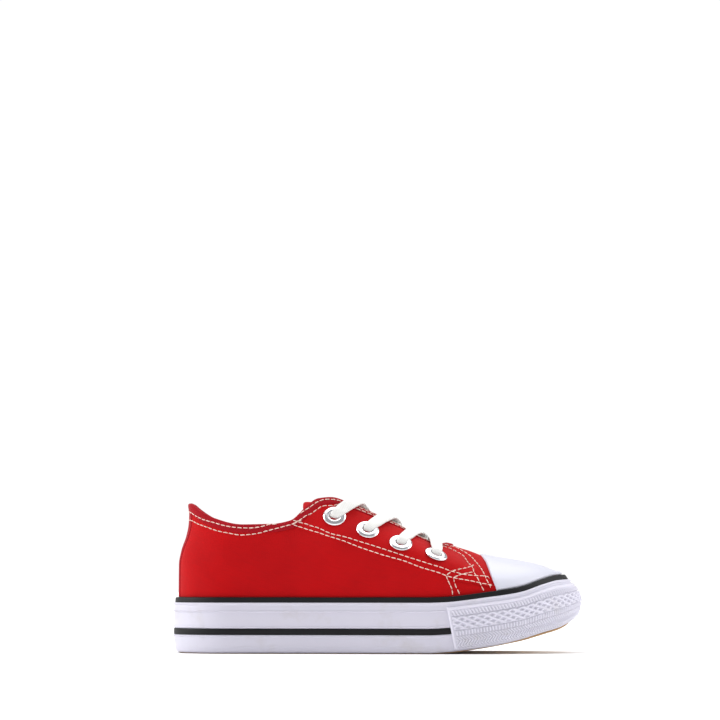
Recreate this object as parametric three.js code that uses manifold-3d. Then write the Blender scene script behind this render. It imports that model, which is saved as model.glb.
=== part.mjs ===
// A child's low canvas sneaker for the right foot, about European size 27: a rubber outsole wrapped
// by a rubber foxing wall with two black stripes, a toe bumper, a rubber toe cap, a hollow canvas
// upper with a U-shaped throat, a tongue, an insole, eight eyelets, and the flat lace where it
// crosses the throat.
//
// Millimetres. +X points to the toe, +Y to the inner (big toe) side, +Z up. The origin is on the
// ground under the middle of the shoe. Each x in a table is the distance from the back of the heel.
import * as THREE from "three";
import { mergeVertices } from "three/addons/utils/BufferGeometryUtils.js";
import Module from "manifold-3d";

const wasm = await Module();
wasm.setup();

// ---- Driving dimensions ----
const SOLE_LENGTH = 189; // foxing wall, without the bumper in front of it
const ORIGIN = { x: 95.25, y: 0.45 }; // from the back of the heel
const HEEL_ROUND = 27; // length over which the plan rounds off at the heel
const TOE_ROUND = 42; // and at the toe
const GAP = 0.3; // between neighbouring pieces

// Places up the foxing wall are shares of its height, about 26 mm.
const SLIT = 0.013; // a gap, as such a share
const OUTSOLE_EDGE = 0.035; // rubber edge that shows under the foxing
const OUTSOLE_TOP = 0.26;
const INSOLE_SHARE = 0.155; // 4 mm thick
const STRIPE = { topHeight: 0.095, lowFrom: 0.335, lowTo: 0.445, depth: 0.9 };
const BUMPER = { bottom: 0.06, top: 0.815, backBottom: 130.5, backTop: 126.8, proud: 1.2 };

// Levels of rows that the foxing and the bumper share, so that the gap between them is even.
const WALL_LEVELS = { foot: 0.15, belowStripe: 0.32, aboveStripe: 0.46, shoulder: 0.7 };

const FOXING_WALL = { bottom: 2.6, top: 1.6 }; // thickness
const CANVAS = 1.4; // wall of the upper: canvas, its backing and lining
const CAP = { backBottom: 149.9, bottomZ: 29.2, backTop: 144, topZ: 45, proud: 1, firstShare: 0.66 };
// The room that the cap leaves the foxing, and the block that cuts its back edge.
const CAP_CUT = { sill: 0.8, sillReach: 5, block: 100 };
const TONGUE_THICKNESS = 1.8;
const EYELET = { flange: 5.3, barrel: 2.85, bore: 2.35, rim: 0.6, hole: 3.2 };
const LACE = { width: 6.4, thickness: 1 };
// Where along the throat each lace passes over its edge, its heights over the eyelet's rim and over
// the edge, and how far a strand goes forward and past the middle.
const LACE_OVER = [84, 99.4, 112, 121.6];
const LACE_RUN = { rim: 4.6, edge: 3.3, start: 0.5, middleDrop: 1.4, forward: 3, past: 0.5, pastDrop: 0.2 };
const THROAT_BACK = 0.4; // how far round the top edge the throat begins
// Rows of tread grooves, from the heel, with plain rubber at the arch and round the edge.
const TREAD = { depth: 1.1, width: 1.9, lead: 4, border: 6 };
const TREAD_ROWS = [16, 24, 32, 40, 92, 100, 108, 116, 124, 132, 140, 148];

const COLUMNS = 72; // steps round the shoe
const HIDDEN_SHARE = 0.22; // part of the upper's rows that stands behind the foxing
const QUARTER_FULLNESS = 1.8; // how upright the sides stand under the collar
const KNEE = { place: 0.6, softness: 0.13 }; // where the instep's sides bend from upright to leaning in
// From where to where one section shape turns into the next: along the toe, and in shares round.
const TOE_TIP = [158, 187];
const BLEND = { heel: [0.04, 0.24], instep: [0.28, 0.44], vamp: [0.56, 0.74] };
const TINY = 1e-4;

// ---- Sections ----
// Plan: the centre line, which bends to the big toe, and the half width beside it.
const PLAN = table(["x", "centre", "half"], [
  [0, 0, 25.6],
  [30, -0.3, 26.4],
  [66, -1.4, 27.2],
  [96, -1.3, 30.4],
  [124, -0.6, 34.2],
  [146, 0.8, 34.6],
  [166, 2.6, 34.2],
  [189, 4.2, 33.6],
]);
// Side view: the underside with its toe spring, the foxing's top edge and the toe box's ridge line.
const SIDE = table(["x", "ground", "edge", "ridge"], [
  [0, 0, 25.9, 52],
  [60, 0, 25.9, 52],
  [118, 0, 25.9, 51.6],
  [127, 0.5, 26.2, 50.6],
  [138, 1.8, 27.4, 47.8],
  [146, 3, 28.5, 44.9],
  [154, 4.5, 29.5, 43.3],
  [162, 6.1, 31, 42],
  [172, 8.8, 34.4, 39.8],
  [180, 11, 36.3, 37],
  [186, 13.7, 36.5, 36.6],
  [189, 15.4, 36.6, 36.6],
]);
// How far the sole's wall stands inside its plan, up its height: at the sides and at the toe's tip.
const WALL = table(["height", "side", "toe"], [
  [0, 1.7, 3.2],
  [0.05, 0.9, 1.9],
  [0.15, 0.35, 0.5],
  [0.35, 0, 0],
  [0.6, 0.1, 0.9],
  [0.85, 0.4, 3],
  [1, 0.8, 5.2],
]);
// Roundness of the toe box's cross sections: higher numbers are squarer.
const VAMP = table(["x", "across", "rise"], [
  [110, 1.9, 1.25],
  [135, 1.9, 1.35],
  [150, 2.1, 1.6],
  [170, 2.3, 1.5],
  [189, 2.3, 1.2],
]);
// The upper's top edge: over the collar, up to the eyestay's rear corner and down to the front of
// the throat. The share is how far round from heel to toe the section's foot stands.
const TOPLINE = table(["share", "x", "y", "z"], [
  [0, 6.9, 0, 69.5],
  [0.06, 8.2, 5.4, 68.9],
  [0.12, 12, 10.4, 66.2],
  [0.2, 20, 15.4, 62.2],
  [0.28, 33, 19.2, 59.4],
  [0.34, 47, 20.2, 59.7],
  [0.37, 55, 19, 61.2],
  [0.4, 63, 16, 68.3],
  [0.42, 67.5, 14.2, 71.4],
  [0.445, 73.5, 12.6, 72],
  [0.48, 81.5, 11.4, 69.6],
  [0.56, 101, 9.6, 61.1],
  [0.62, 113, 8.8, 55.8],
  [0.68, 120.5, 7.8, 53],
  [0.76, 124.8, 5.8, 51.7],
  [0.86, 126.6, 3.2, 50.8],
  [1, 127.2, 0, 50.5],
]);
// The back of the heel: how far it has come in from the foxing's line to the top edge's, up its height.
const HEEL_CURVE = table(["height", "inward"], [
  [0, 0],
  [0.35, 0.02],
  [0.5, 0.28],
  [0.65, 0.8],
  [0.78, 1.06],
  [0.9, 1.12],
  [1, 1],
]);
// The tongue's upper face: its height, its flat middle's half width, its half width, its side fall.
const TONGUE = table(["x", "z", "flat", "half", "fall"], [
  [60.4, 70, 7, 11, 1.6],
  [62, 70.5, 8, 14.2, 3.2],
  [72, 69.3, 8.5, 14.8, 4.6],
  [81, 66.7, 8.5, 14.6, 4.8],
  [90, 63.1, 8, 14, 4.8],
  [100, 58.5, 7.5, 13.2, 4.6],
  [110, 54, 6.5, 12.2, 4.4],
  [118, 50.9, 5.5, 11.2, 4],
  [127, 47.7, 4.5, 10.2, 3],
  [134, 45.6, 4, 9.4, 2],
]);
// Eyelet centres in the side view, from the ankle to the toe.
const EYELETS = table(["x", "z"], [
  [75.4, 63],
  [90.7, 56.7],
  [106, 50.5],
  [122.2, 45.2],
]);

// ---- Numbers ----
// A table's value in a named column, at a place along its first column, on a smooth curve.
function table(columns, rows) {
  const key = rows.map((row) => row[0]);
  const slopes = columns.map((_, c) => gentleSlopes(key, rows.map((row) => row[c])));
  const at = (name, place) => {
    const c = columns.indexOf(name);
    const p = Math.min(Math.max(place, key[0]), key[key.length - 1]);
    let i = 0;
    while (i < key.length - 2 && p > key[i + 1]) i++;
    const step = key[i + 1] - key[i];
    const k = (p - key[i]) / step;
    const level = mix(rows[i][c], rows[i + 1][c], ease(k));
    return level + step * k * (1 - k) * (slopes[c][i] * (1 - k) - slopes[c][i + 1] * k);
  };
  return { rows, at };
}

// Slopes that keep a curve between its points: zero at a turn, else the chords' harmonic mean.
function gentleSlopes(x, y) {
  const chord = x.slice(1).map((place, i) => (y[i + 1] - y[i]) / (place - x[i]));
  return x.map((_, i) => {
    const before = chord[Math.max(i - 1, 0)];
    const after = chord[Math.min(i, chord.length - 1)];
    return before * after <= 0 ? 0 : (2 * before * after) / (before + after);
  });
}

function mix(a, b, t) {
  return a + (b - a) * t;
}
function mixPoint(a, b, t) {
  return a.map((value, i) => mix(value, b[i], t));
}
function clamp(t) {
  return Math.min(Math.max(t, 0), 1);
}
function ease(t) {
  return t * t * (3 - 2 * t);
}
function smooth(from, to, t) {
  return ease(clamp((t - from) / (to - from)));
}
function steps(count, from = 0, to = 1) {
  return Array.from({ length: count + 1 }, (_, i) => mix(from, to, i / count));
}

// ---- The last: the surfaces that every piece follows ----
// u runs once round the shoe: 0 at the heel, 0.5 at the toe, out along the outer side and back
// along the inner side.
function along(u) {
  return 1 - Math.abs(2 * u - 1);
}
function turn(share, side) {
  return side < 0 ? share / 2 : 1 - share / 2;
}
function shareAt(x) {
  return Math.acos(1 - (2 * x) / SOLE_LENGTH) / Math.PI;
}

// The sole's plan, widest at the ball, with its ends rounded off as quarter ellipses.
function outline(u) {
  const x = (SOLE_LENGTH * (1 - Math.cos(Math.PI * along(u)))) / 2;
  const heel = 1 - clamp(1 - x / HEEL_ROUND) ** 2;
  const toe = 1 - clamp(1 - (SOLE_LENGTH - x) / TOE_ROUND) ** 2;
  const half = PLAN.at("half", x) * Math.sqrt(heel * toe);
  return [x, PLAN.at("centre", x) + (u < 0.5 ? -half : half)];
}

// The same outline moved inwards, square to itself.
function inset(u, depth) {
  const wrap = (t) => t - Math.floor(t);
  const [x, y] = outline(wrap(u));
  const [ax, ay] = outline(wrap(u - TINY));
  const [bx, by] = outline(wrap(u + TINY));
  const scale = depth / Math.hypot(bx - ax, by - ay);
  return [x - scale * (by - ay), y + scale * (bx - ax)];
}

// The sole's outer wall: f is 0 at the underside and 1 at the top edge, and depth goes in from its face.
function wall(u, f, depth) {
  const tip = smooth(...TOE_TIP, outline(u)[0]);
  const lean = mix(WALL.at("side", f), WALL.at("toe", f), tip);
  const [x, y] = inset(u, lean + depth);
  return [x, y, mix(SIDE.at("ground", x), SIDE.at("edge", x), f)];
}
function foxingDepth(f) {
  return mix(FOXING_WALL.bottom, FOXING_WALL.top, f);
}

// Half of a plan line, as the sideways place and height of its points, read off by x.
function sideLine(pointAt, side) {
  const points = steps(300, 0.001, 0.999).map((share) => pointAt(turn(share, side)));
  return (x) => {
    let i = 0;
    while (i < points.length - 2 && x > points[i + 1][0]) i++;
    const t = clamp((x - points[i][0]) / (points[i + 1][0] - points[i][0]));
    return mix(points[i][1], points[i + 1][1], t);
  };
}
function foot(u) {
  return wall(u, 1, FOXING_WALL.top + GAP);
}
const footSide = { outer: sideLine(foot, -1), inner: sideLine(foot, 1) };

// The toe box as a height over the plan: rounded cross sections under the ridge line.
function vampHeight(x, y) {
  const middle = PLAN.at("centre", x);
  const edge = (y < middle ? footSide.outer : footSide.inner)(x);
  const reach = clamp((y - middle) / (edge - middle));
  const arch = (1 - reach ** VAMP.at("across", x)) ** (1 / VAMP.at("rise", x));
  return mix(SIDE.at("edge", x), SIDE.at("ridge", x), arch);
}

// The instep's side line: upright at first, then leaning in evenly above a soft bend.
function knee(t) {
  const bend = (at) => at - KNEE.place + Math.hypot(at - KNEE.place, KNEE.softness);
  return (bend(t) - bend(0)) / (bend(1) - bend(0));
}

// The upper's outer face: v is 0 at its lower edge behind the foxing and 1 at the top edge.
function upperFace(u, v) {
  if (v < HIDDEN_SHARE) {
    const f = mix(OUTSOLE_TOP + SLIT, 1, v / HIDDEN_SHARE);
    return wall(u, f, foxingDepth(f) + GAP);
  }
  const share = along(u);
  const t = (v - HIDDEN_SHARE) / (1 - HIDDEN_SHARE);
  const low = foot(u);
  const sideways = TOPLINE.at("y", share) * (u < 0.5 ? -1 : 1);
  const top = [TOPLINE.at("x", share), sideways, TOPLINE.at("z", share)];
  const heel = 1 - smooth(...BLEND.heel, share);
  const sideLine = mix(t ** QUARTER_FULLNESS, knee(t), smooth(...BLEND.instep, share));
  const inward = mix(sideLine, HEEL_CURVE.at("inward", t), heel);
  const [sx, sy] = mixPoint(low, top, inward);
  const quarter = [sx, sy, mix(low[2], top[2], t)];
  const [vx, vy] = mixPoint(low, top, t * t);
  const vamp = [vx, vy, vampHeight(vx, vy)];
  return mixPoint(quarter, vamp, smooth(...BLEND.vamp, share));
}

// The direction out of the upper's face, and a point at some height off the face.
function upperNormal(u, v) {
  const toVector = (p) => new THREE.Vector3(...p);
  const round = toVector(upperFace(u + TINY, v)).sub(toVector(upperFace(u - TINY, v)));
  const above = toVector(upperFace(u, Math.min(v + TINY, 1)));
  const up = above.sub(toVector(upperFace(u, Math.max(v - TINY, 0))));
  return round.cross(up).normalize();
}
function offUpper(u, v, height) {
  const n = upperNormal(u, v);
  const p = upperFace(u, v);
  return [p[0] + n.x * height, p[1] + n.y * height, p[2] + n.z * height];
}

// The place on the upper that shows at a point of the side view.
function findOnUpper(x, z, side) {
  let share = shareAt(x);
  let v = 0.9;
  for (let i = 0; i < 12; i++) {
    const here = upperFace(turn(share, side), v);
    const ahead = upperFace(turn(share + TINY, side), v);
    const above = upperFace(turn(share, side), v - TINY);
    const a = (ahead[0] - here[0]) / TINY;
    const b = (here[0] - above[0]) / TINY;
    const c = (ahead[2] - here[2]) / TINY;
    const d = (here[2] - above[2]) / TINY;
    const det = a * d - b * c;
    share += ((x - here[0]) * d - (z - here[2]) * b) / det;
    v += ((z - here[2]) * a - (x - here[0]) * c) / det;
  }
  return { u: turn(share, side), v };
}

// ---- Solids ----
function toManifold(geometry) {
  geometry.deleteAttribute("normal");
  geometry.deleteAttribute("uv");
  const merged = mergeVertices(geometry, 1e-4);
  const vertProperties = merged.getAttribute("position").array;
  const triVerts = dropCollapsed(Array.from(merged.index.array));
  const build = (triangles) => {
    const mesh = new wasm.Mesh({ numProp: 3, vertProperties, triVerts: new Uint32Array(triangles) });
    return new wasm.Manifold(mesh);
  };
  const made = build(triVerts);
  return made.volume() < 0 ? build(triVerts.reverse()) : made;
}

function dropCollapsed(corners) {
  return corners.filter((_, i) => {
    const [a, b, c] = corners.slice(i - (i % 3), i - (i % 3) + 3);
    return a !== b && b !== c && c !== a;
  });
}

function toGeometry(solid) {
  const mesh = solid.getMesh();
  const geometry = new THREE.BufferGeometry();
  geometry.setAttribute("position", new THREE.BufferAttribute(Float32Array.from(mesh.vertProperties), 3));
  geometry.setIndex(new THREE.BufferAttribute(Uint32Array.from(mesh.triVerts), 1));
  geometry.computeVertexNormals();
  return geometry;
}

function fromQuads(points, quads) {
  const geometry = new THREE.BufferGeometry();
  geometry.setAttribute("position", new THREE.Float32BufferAttribute(points.flat(), 3));
  geometry.setIndex(quads.flatMap(([a, b, c, d]) => [a, b, c, a, c, d]));
  return toManifold(geometry);
}

// The solid between two sheets of rows of points. A ring's rows close on themselves.
function between(outer, inner, ring) {
  const rows = outer.length;
  const columns = outer[0].length;
  const id = (sheet, r, c) => (sheet * rows + r) * columns + (c % columns);
  const last = ring ? columns : columns - 1;
  const quads = [];
  for (let r = 0; r < rows - 1; r++) {
    for (let c = 0; c < last; c++) {
      quads.push([id(0, r, c), id(0, r, c + 1), id(0, r + 1, c + 1), id(0, r + 1, c)]);
      quads.push([id(1, r + 1, c), id(1, r + 1, c + 1), id(1, r, c + 1), id(1, r, c)]);
    }
    if (!ring) {
      quads.push([id(1, r, 0), id(0, r, 0), id(0, r + 1, 0), id(1, r + 1, 0)]);
      quads.push([id(0, r, last), id(1, r, last), id(1, r + 1, last), id(0, r + 1, last)]);
    }
  }
  for (let c = 0; c < last; c++) {
    quads.push([id(1, 0, c), id(1, 0, c + 1), id(0, 0, c + 1), id(0, 0, c)]);
    quads.push([id(0, rows - 1, c), id(0, rows - 1, c + 1), id(1, rows - 1, c + 1), id(1, rows - 1, c)]);
  }
  return fromQuads([...outer.flat(), ...inner.flat()], quads);
}

// The solid inside a stack of rings, closed by strips that run from one side of the shoe to the other.
function stack(rings) {
  const n = rings[0].length;
  const id = (r, c) => r * n + (c % n);
  const top = rings.length - 1;
  const quads = [];
  for (let c = 0; c < n; c++) {
    for (let r = 0; r < top; r++) {
      quads.push([id(r, c), id(r, c + 1), id(r + 1, c + 1), id(r + 1, c)]);
    }
  }
  for (let c = 0; c < n / 2; c++) {
    quads.push([id(0, n - c), id(0, n - c - 1), id(0, c + 1), id(0, c)]);
    quads.push([id(top, c), id(top, c + 1), id(top, n - c - 1), id(top, n - c)]);
  }
  return fromQuads(rings.flat(), quads);
}

const ROUND = steps(COLUMNS).slice(0, COLUMNS);
function ringAt(f, depth) {
  return ROUND.map((u) => wall(u, f, depth));
}

// ---- Sole ----
function outsole() {
  const tuck = (f) => ringAt(f, foxingDepth(f) + GAP);
  const body = stack([ringAt(0, 0), ringAt(OUTSOLE_EDGE, 0), tuck(OUTSOLE_EDGE), tuck(OUTSOLE_TOP)]);
  return treadGrooves().reduce((sole, groove) => sole.subtract(groove), body);
}

// V-shaped grooves across the underside, at the heel and under the ball, inside a plain border.
function treadGrooves() {
  const edge = { outer: sideLine((u) => wall(u, 0, 0), -1), inner: sideLine((u) => wall(u, 0, 0), 1) };
  return TREAD_ROWS.map((x) => {
    const right = edge.outer(x) + TREAD.border;
    const left = edge.inner(x) - TREAD.border;
    const line = (y) => x + TREAD.lead * (1 - Math.abs((2 * y - left - right) / (left - right)));
    const rows = (rise) => [-TREAD.width / 2, TREAD.width / 2].map((across) =>
      steps(4, right, left).map((y) => {
        const px = line(y) + across;
        return [px, y, SIDE.at("ground", px) + rise];
      }));
    return between(rows(TREAD.depth), rows(-TREAD.depth), false);
  });
}

function foxing() {
  const low = OUTSOLE_EDGE + SLIT;
  const high = 1 - STRIPE.topHeight - SLIT;
  const groove = STRIPE.depth + GAP;
  const face = [
    [low, 0],
    [WALL_LEVELS.foot, 0],
    [STRIPE.lowFrom - SLIT, 0],
    [STRIPE.lowFrom - SLIT, groove],
    [STRIPE.lowTo + SLIT, groove],
    [STRIPE.lowTo + SLIT, 0],
    [WALL_LEVELS.shoulder, 0],
    [high, 0],
  ];
  const outer = face.map(([f, depth]) => ringAt(f, depth));
  const inner = face.map(([f]) => ringAt(f, foxingDepth(f)));
  return between(outer, inner, true);
}

function stripeTop() {
  const levels = [1 - STRIPE.topHeight, 1];
  return between(levels.map((f) => ringAt(f, 0)), levels.map((f) => ringAt(f, foxingDepth(f))), true);
}
function stripeLower() {
  const levels = [STRIPE.lowFrom, STRIPE.lowTo];
  return between(levels.map((f) => ringAt(f, 0)), levels.map((f) => ringAt(f, STRIPE.depth)), true);
}

function toeBumper() {
  const levels = [BUMPER.bottom, ...Object.values(WALL_LEVELS), BUMPER.top];
  const sheet = (depth) => levels.map((f) => {
    const rise = (f - BUMPER.bottom) / (BUMPER.top - BUMPER.bottom);
    const share = shareAt(mix(BUMPER.backBottom, BUMPER.backTop, rise));
    return steps(30, turn(share, -1), turn(share, 1)).map((u) => wall(u, f, depth));
  });
  return between(sheet(-GAP - BUMPER.proud), sheet(-GAP), false);
}

function insole() {
  const bottom = OUTSOLE_TOP + SLIT;
  const ring = (f) => ringAt(f, foxingDepth(f) + CANVAS + 2 * GAP);
  return stack([ring(bottom), ring(bottom + INSOLE_SHARE)]);
}

// ---- Upper ----
const HIDDEN_ROWS = [0, 0.22, 0.6]; // close enough to follow the bowed wall beside the insole
const UPPER_ROWS = [...HIDDEN_ROWS.map((row) => row * HIDDEN_SHARE), ...steps(7, HIDDEN_SHARE, 1)];

function upper() {
  const sheet = (height) => UPPER_ROWS.map((v) => ROUND.map((u) => offUpper(u, v, height)));
  const shell = between(sheet(0), sheet(-CANVAS), true);
  return places.reduce((canvas, place) => canvas.subtract(eyeletHole(place)), shell);
}

// The toe cap is the layer just outside the upper, in front of a slanted plane and above the foxing.
function toeCap() {
  const front = steps(24, turn(CAP.firstShare, -1), turn(CAP.firstShare, 1));
  const rows = steps(7, HIDDEN_SHARE, 1);
  const sheet = (height) => rows.map((v) => front.map((u) => offUpper(u, v, height)));
  const layer = between(sheet(GAP + CAP.proud), sheet(GAP), false);
  const sillSheet = (depth) => [CAP_CUT.sill, 1 + SLIT].map((f) => ringAt(f, depth));
  const sill = between(sillSheet(-CAP_CUT.sillReach), sillSheet(CAP_CUT.sillReach), true);
  const slant = Math.atan2(CAP.backBottom - CAP.backTop, CAP.topZ - CAP.bottomZ);
  const block = new THREE.BoxGeometry(CAP_CUT.block, CAP_CUT.block, CAP_CUT.block);
  block.translate(CAP_CUT.block / 2, 0, 0).rotateY(slant);
  block.translate((CAP.backTop + CAP.backBottom) / 2, 0, (CAP.topZ + CAP.bottomZ) / 2);
  return layer.subtract(sill).intersect(toManifold(block));
}

function tongueFace(x, t) {
  const half = TONGUE.at("half", x);
  const flat = TONGUE.at("flat", x);
  const beyond = Math.max(Math.abs(t) * half - flat, 0) / (half - flat);
  return [x, t * half, TONGUE.at("z", x) - TONGUE.at("fall", x) * beyond ** 1.5];
}
function tongue() {
  const rows = TONGUE.rows.map(([x]) => x);
  const sheet = (drop) => rows.map((x) => steps(10, -1, 1).map((t) => {
    const [px, py, pz] = tongueFace(x, t);
    return [px, py, pz - drop];
  }));
  return between(sheet(0), sheet(TONGUE_THICKNESS), false);
}

// ---- Eyelets and lace ----
// Their places on the upper: the outer side's, from the ankle to the toe, then the inner side's.
const places = [-1, 1].flatMap((side) => EYELETS.rows.map(([x, z]) => findOnUpper(x, z, side)));
function standOnUpper(geometry, { u, v }) {
  const up = new THREE.Vector3(0, 1, 0);
  geometry.applyQuaternion(new THREE.Quaternion().setFromUnitVectors(up, upperNormal(u, v)));
  return geometry.translate(...upperFace(u, v));
}
function eyeletHole(place) {
  const drill = new THREE.CylinderGeometry(EYELET.hole, EYELET.hole, 6 * CANVAS, 10);
  return toManifold(standOnUpper(drill, place));
}
function eyelet(place) {
  const profile = [
    [EYELET.bore, GAP - CANVAS],
    [EYELET.barrel, GAP - CANVAS],
    [EYELET.barrel, GAP],
    [EYELET.flange, GAP],
    [EYELET.flange - EYELET.rim, GAP + EYELET.rim],
    [EYELET.bore, GAP + EYELET.rim],
    [EYELET.bore, GAP - CANVAS],
  ];
  const ring = new THREE.LatheGeometry(profile.map(([r, h]) => new THREE.Vector2(r, h)), 10);
  return toManifold(standOnUpper(ring, place));
}

// A flat ribbon through points, its width square to its run and level with the throat.
function ribbon(points) {
  const at = points.map((p) => new THREE.Vector3(...p));
  const edge = (side, lift) => at.map((p, i) => {
    const run = at[Math.min(i + 1, at.length - 1)].clone().sub(at[Math.max(i - 1, 0)]);
    const across = new THREE.Vector3(-run.y, run.x, 0).normalize();
    const up = run.clone().cross(across).normalize();
    if (up.z < 0) up.negate();
    across.copy(up).cross(run).normalize();
    return p.clone().addScaledVector(across, (side * LACE.width) / 2).addScaledVector(up, lift).toArray();
  });
  const sheet = (lift) => [edge(-1, lift), edge(1, lift)];
  return between(sheet(LACE.thickness / 2), sheet(-LACE.thickness / 2), false);
}

// The place on the upper's top edge at a distance from the heel along the throat.
function edgePlace(x, side) {
  let low = THROAT_BACK;
  let high = 1;
  while (high - low > TINY) {
    const middle = (low + high) / 2;
    if (TOPLINE.at("x", middle) < x) low = middle;
    else high = middle;
  }
  return turn(low, side);
}

// A lace's way from between its eyelet's rim and the throat's edge to over the edge.
function wayToEdge(side, row) {
  const { u, v } = places[row + (side < 0 ? 0 : EYELETS.rows.length)];
  const edge = offUpper(edgePlace(LACE_OVER[row], side), 1, LACE_RUN.edge);
  return [mixPoint(offUpper(u, v, LACE_RUN.rim), edge, LACE_RUN.start), edge];
}

// The two strands that cross in front of a pair of eyelets, each from over one edge of the throat to
// past its middle.
function laceCross(row) {
  const [outer, inner] = [wayToEdge(-1, row), wayToEdge(1, row)];
  const middle = mixPoint(outer[1], inner[1], 0.5);
  middle[0] += LACE_RUN.forward;
  middle[2] -= LACE_RUN.middleDrop;
  const strand = (near, far) => {
    const end = mixPoint(middle, far, LACE_RUN.past);
    return ribbon([...near, middle, [end[0] + LACE_RUN.forward, end[1], middle[2] - LACE_RUN.pastDrop]]);
  };
  return strand(outer, inner[1]).add(strand(inner, outer[1]));
}

// The straight bar between the front pair of eyelets.
function laceBar() {
  const row = EYELETS.rows.length - 1;
  const [outer, inner] = [wayToEdge(-1, row), wayToEdge(1, row)];
  const middle = mixPoint(outer[1], inner[1], 0.5);
  middle[2] -= LACE_RUN.middleDrop;
  return ribbon([...outer, middle, ...inner.reverse()]);
}

// ---- Assembly ----
const FINISH = {
  whiteRubber: { color: 0xe8e7ee, roughness: 0.45, metalness: 0 },
  blackRubber: { color: 0x26262b, roughness: 0.5, metalness: 0 },
  tanRubber: { color: 0xb08a5c, roughness: 0.6, metalness: 0 },
  redCanvas: { color: 0xc0151f, roughness: 0.9, metalness: 0 },
  lining: { color: 0xe6e0d2, roughness: 0.9, metalness: 0 },
  steel: { color: 0xd8d9dc, roughness: 0.25, metalness: 1 },
  cotton: { color: 0xf2f1ec, roughness: 0.85, metalness: 0 },
};

const sneaker = new THREE.Group();
sneaker.position.set(-ORIGIN.x, -ORIGIN.y, 0);

function add(name, solid, finish) {
  const mesh = new THREE.Mesh(toGeometry(solid), new THREE.MeshStandardMaterial(finish));
  mesh.name = name;
  sneaker.add(mesh);
}

add("outsole", outsole(), FINISH.tanRubber);
add("foxing", foxing(), FINISH.whiteRubber);
add("stripe_top", stripeTop(), FINISH.blackRubber);
add("stripe_lower", stripeLower(), FINISH.blackRubber);
add("toe_bumper", toeBumper(), FINISH.whiteRubber);
add("toe_cap", toeCap(), FINISH.whiteRubber);
add("insole", insole(), FINISH.lining);
add("upper", upper(), FINISH.redCanvas);
add("tongue", tongue(), FINISH.redCanvas);
places.forEach((spot, i) => {
  const side = i < EYELETS.rows.length ? "outer" : "inner";
  add(`eyelet_${side}_${(i % EYELETS.rows.length) + 1}`, eyelet(spot), FINISH.steel);
});
for (let row = 0; row < EYELETS.rows.length - 1; row++) {
  add(`lace_cross_${row + 1}`, laceCross(row), FINISH.cotton);
}
add("lace_bar", laceBar(), FINISH.cotton);

export default sneaker;
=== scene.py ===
import math

import bpy
import numpy as np
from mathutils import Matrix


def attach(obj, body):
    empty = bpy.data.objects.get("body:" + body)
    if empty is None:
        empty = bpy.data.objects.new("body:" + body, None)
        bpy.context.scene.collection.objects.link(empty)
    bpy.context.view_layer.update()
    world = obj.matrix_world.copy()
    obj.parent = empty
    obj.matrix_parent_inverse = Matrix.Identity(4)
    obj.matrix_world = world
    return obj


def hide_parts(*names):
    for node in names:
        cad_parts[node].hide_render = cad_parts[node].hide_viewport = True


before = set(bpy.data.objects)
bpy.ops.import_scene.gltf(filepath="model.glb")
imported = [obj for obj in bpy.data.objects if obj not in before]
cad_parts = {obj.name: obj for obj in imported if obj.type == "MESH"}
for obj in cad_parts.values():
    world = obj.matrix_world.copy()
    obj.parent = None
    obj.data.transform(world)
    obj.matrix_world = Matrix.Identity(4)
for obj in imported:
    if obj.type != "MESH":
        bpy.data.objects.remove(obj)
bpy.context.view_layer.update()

# A child's low canvas sneaker for the right foot. Every surface is worked out in millimetres from the back
# of the heel, with +X to the toe, +Y to the inner side and +Z up. It is put into the frame when its mesh is
# made.
MM = 0.001
SOLE_LENGTH = 189.0
ORIGIN = np.array([95.25, 0.45, 0.0])
HEEL_ROUND = 27.0
TOE_ROUND = 42.0
GAP = 0.3

# Places up the foxing wall are shares of its height.
WALL_HEIGHT = 26.0
SLIT = 0.013
OUTSOLE_EDGE = 0.035
OUTSOLE_TOP = 0.26
INSOLE_SHARE = 0.155
STRIPE_TOP = 0.905
STRIPE_LOW = (0.335, 0.445)
# The foxing's thickness at its lower and upper edge, and the canvas wall's.
FOXING_BOTTOM = 2.6
FOXING_TOP = 1.6
CANVAS = 1.4
# The part of the upper that stands behind the foxing, and how its side line bends inwards above it.
HIDDEN_SHARE = 0.22
FULLNESS = 1.8
KNEE = 0.6
KNEE_SOFTNESS = 0.13
# Where one shape turns into the next: the wall's lean between two places along the shoe, the others between
# shares of the way from the heel to the toe.
TIP_LEAN = (158, 187)
HEEL_ENDS = (0.04, 0.24)
INSTEP = (0.28, 0.44)
TOE_BOX = (0.56, 0.74)
TINY = 1e-4


# ---- Numbers ----
class Table:
    """Named columns over a first column, joined by smooth curves that never overshoot the rows."""

    def __init__(self, columns, rows):
        self.key = np.array([row[0] for row in rows], float)
        self.values = dict(zip(columns, np.array(rows, float).T))

    def __call__(self, column, place):
        return smooth_curve(self.key, self.values[column], place)


def smooth_curve(x, y, place):
    """A cubic through points. Its slope is zero at a turn, and else the harmonic mean of two chords."""
    step = np.diff(x)
    chord = np.diff(y) / step
    before = np.concatenate([chord[:1], chord])
    after = np.concatenate([chord, chord[-1:]])
    same_way = before * after > 0
    slope = np.where(same_way, 2 * before * after / np.where(same_way, before + after, 1), 0)
    p = np.clip(place, x[0], x[-1])
    i = np.clip(np.searchsorted(x, p, side="left") - 1, 0, len(x) - 2)
    k = (p - x[i]) / step[i]
    rise = k * k * (3 - 2 * k)
    level = y[i] * (1 - rise) + y[i + 1] * rise
    return level + step[i] * k * (1 - k) * (slope[i] * (1 - k) - slope[i + 1] * k)


def mix(a, b, t):
    return a + (b - a) * t


def smooth(start, end, t):
    k = np.clip((t - start) / (end - start), 0, 1)
    return k * k * (3 - 2 * k)


def bump(t, centre, half):
    """A rounded hump of height 1, zero beyond half on either side of its centre."""
    return 0.5 + 0.5 * np.cos(np.pi * np.clip((t - centre) / half, -1, 1))


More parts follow.
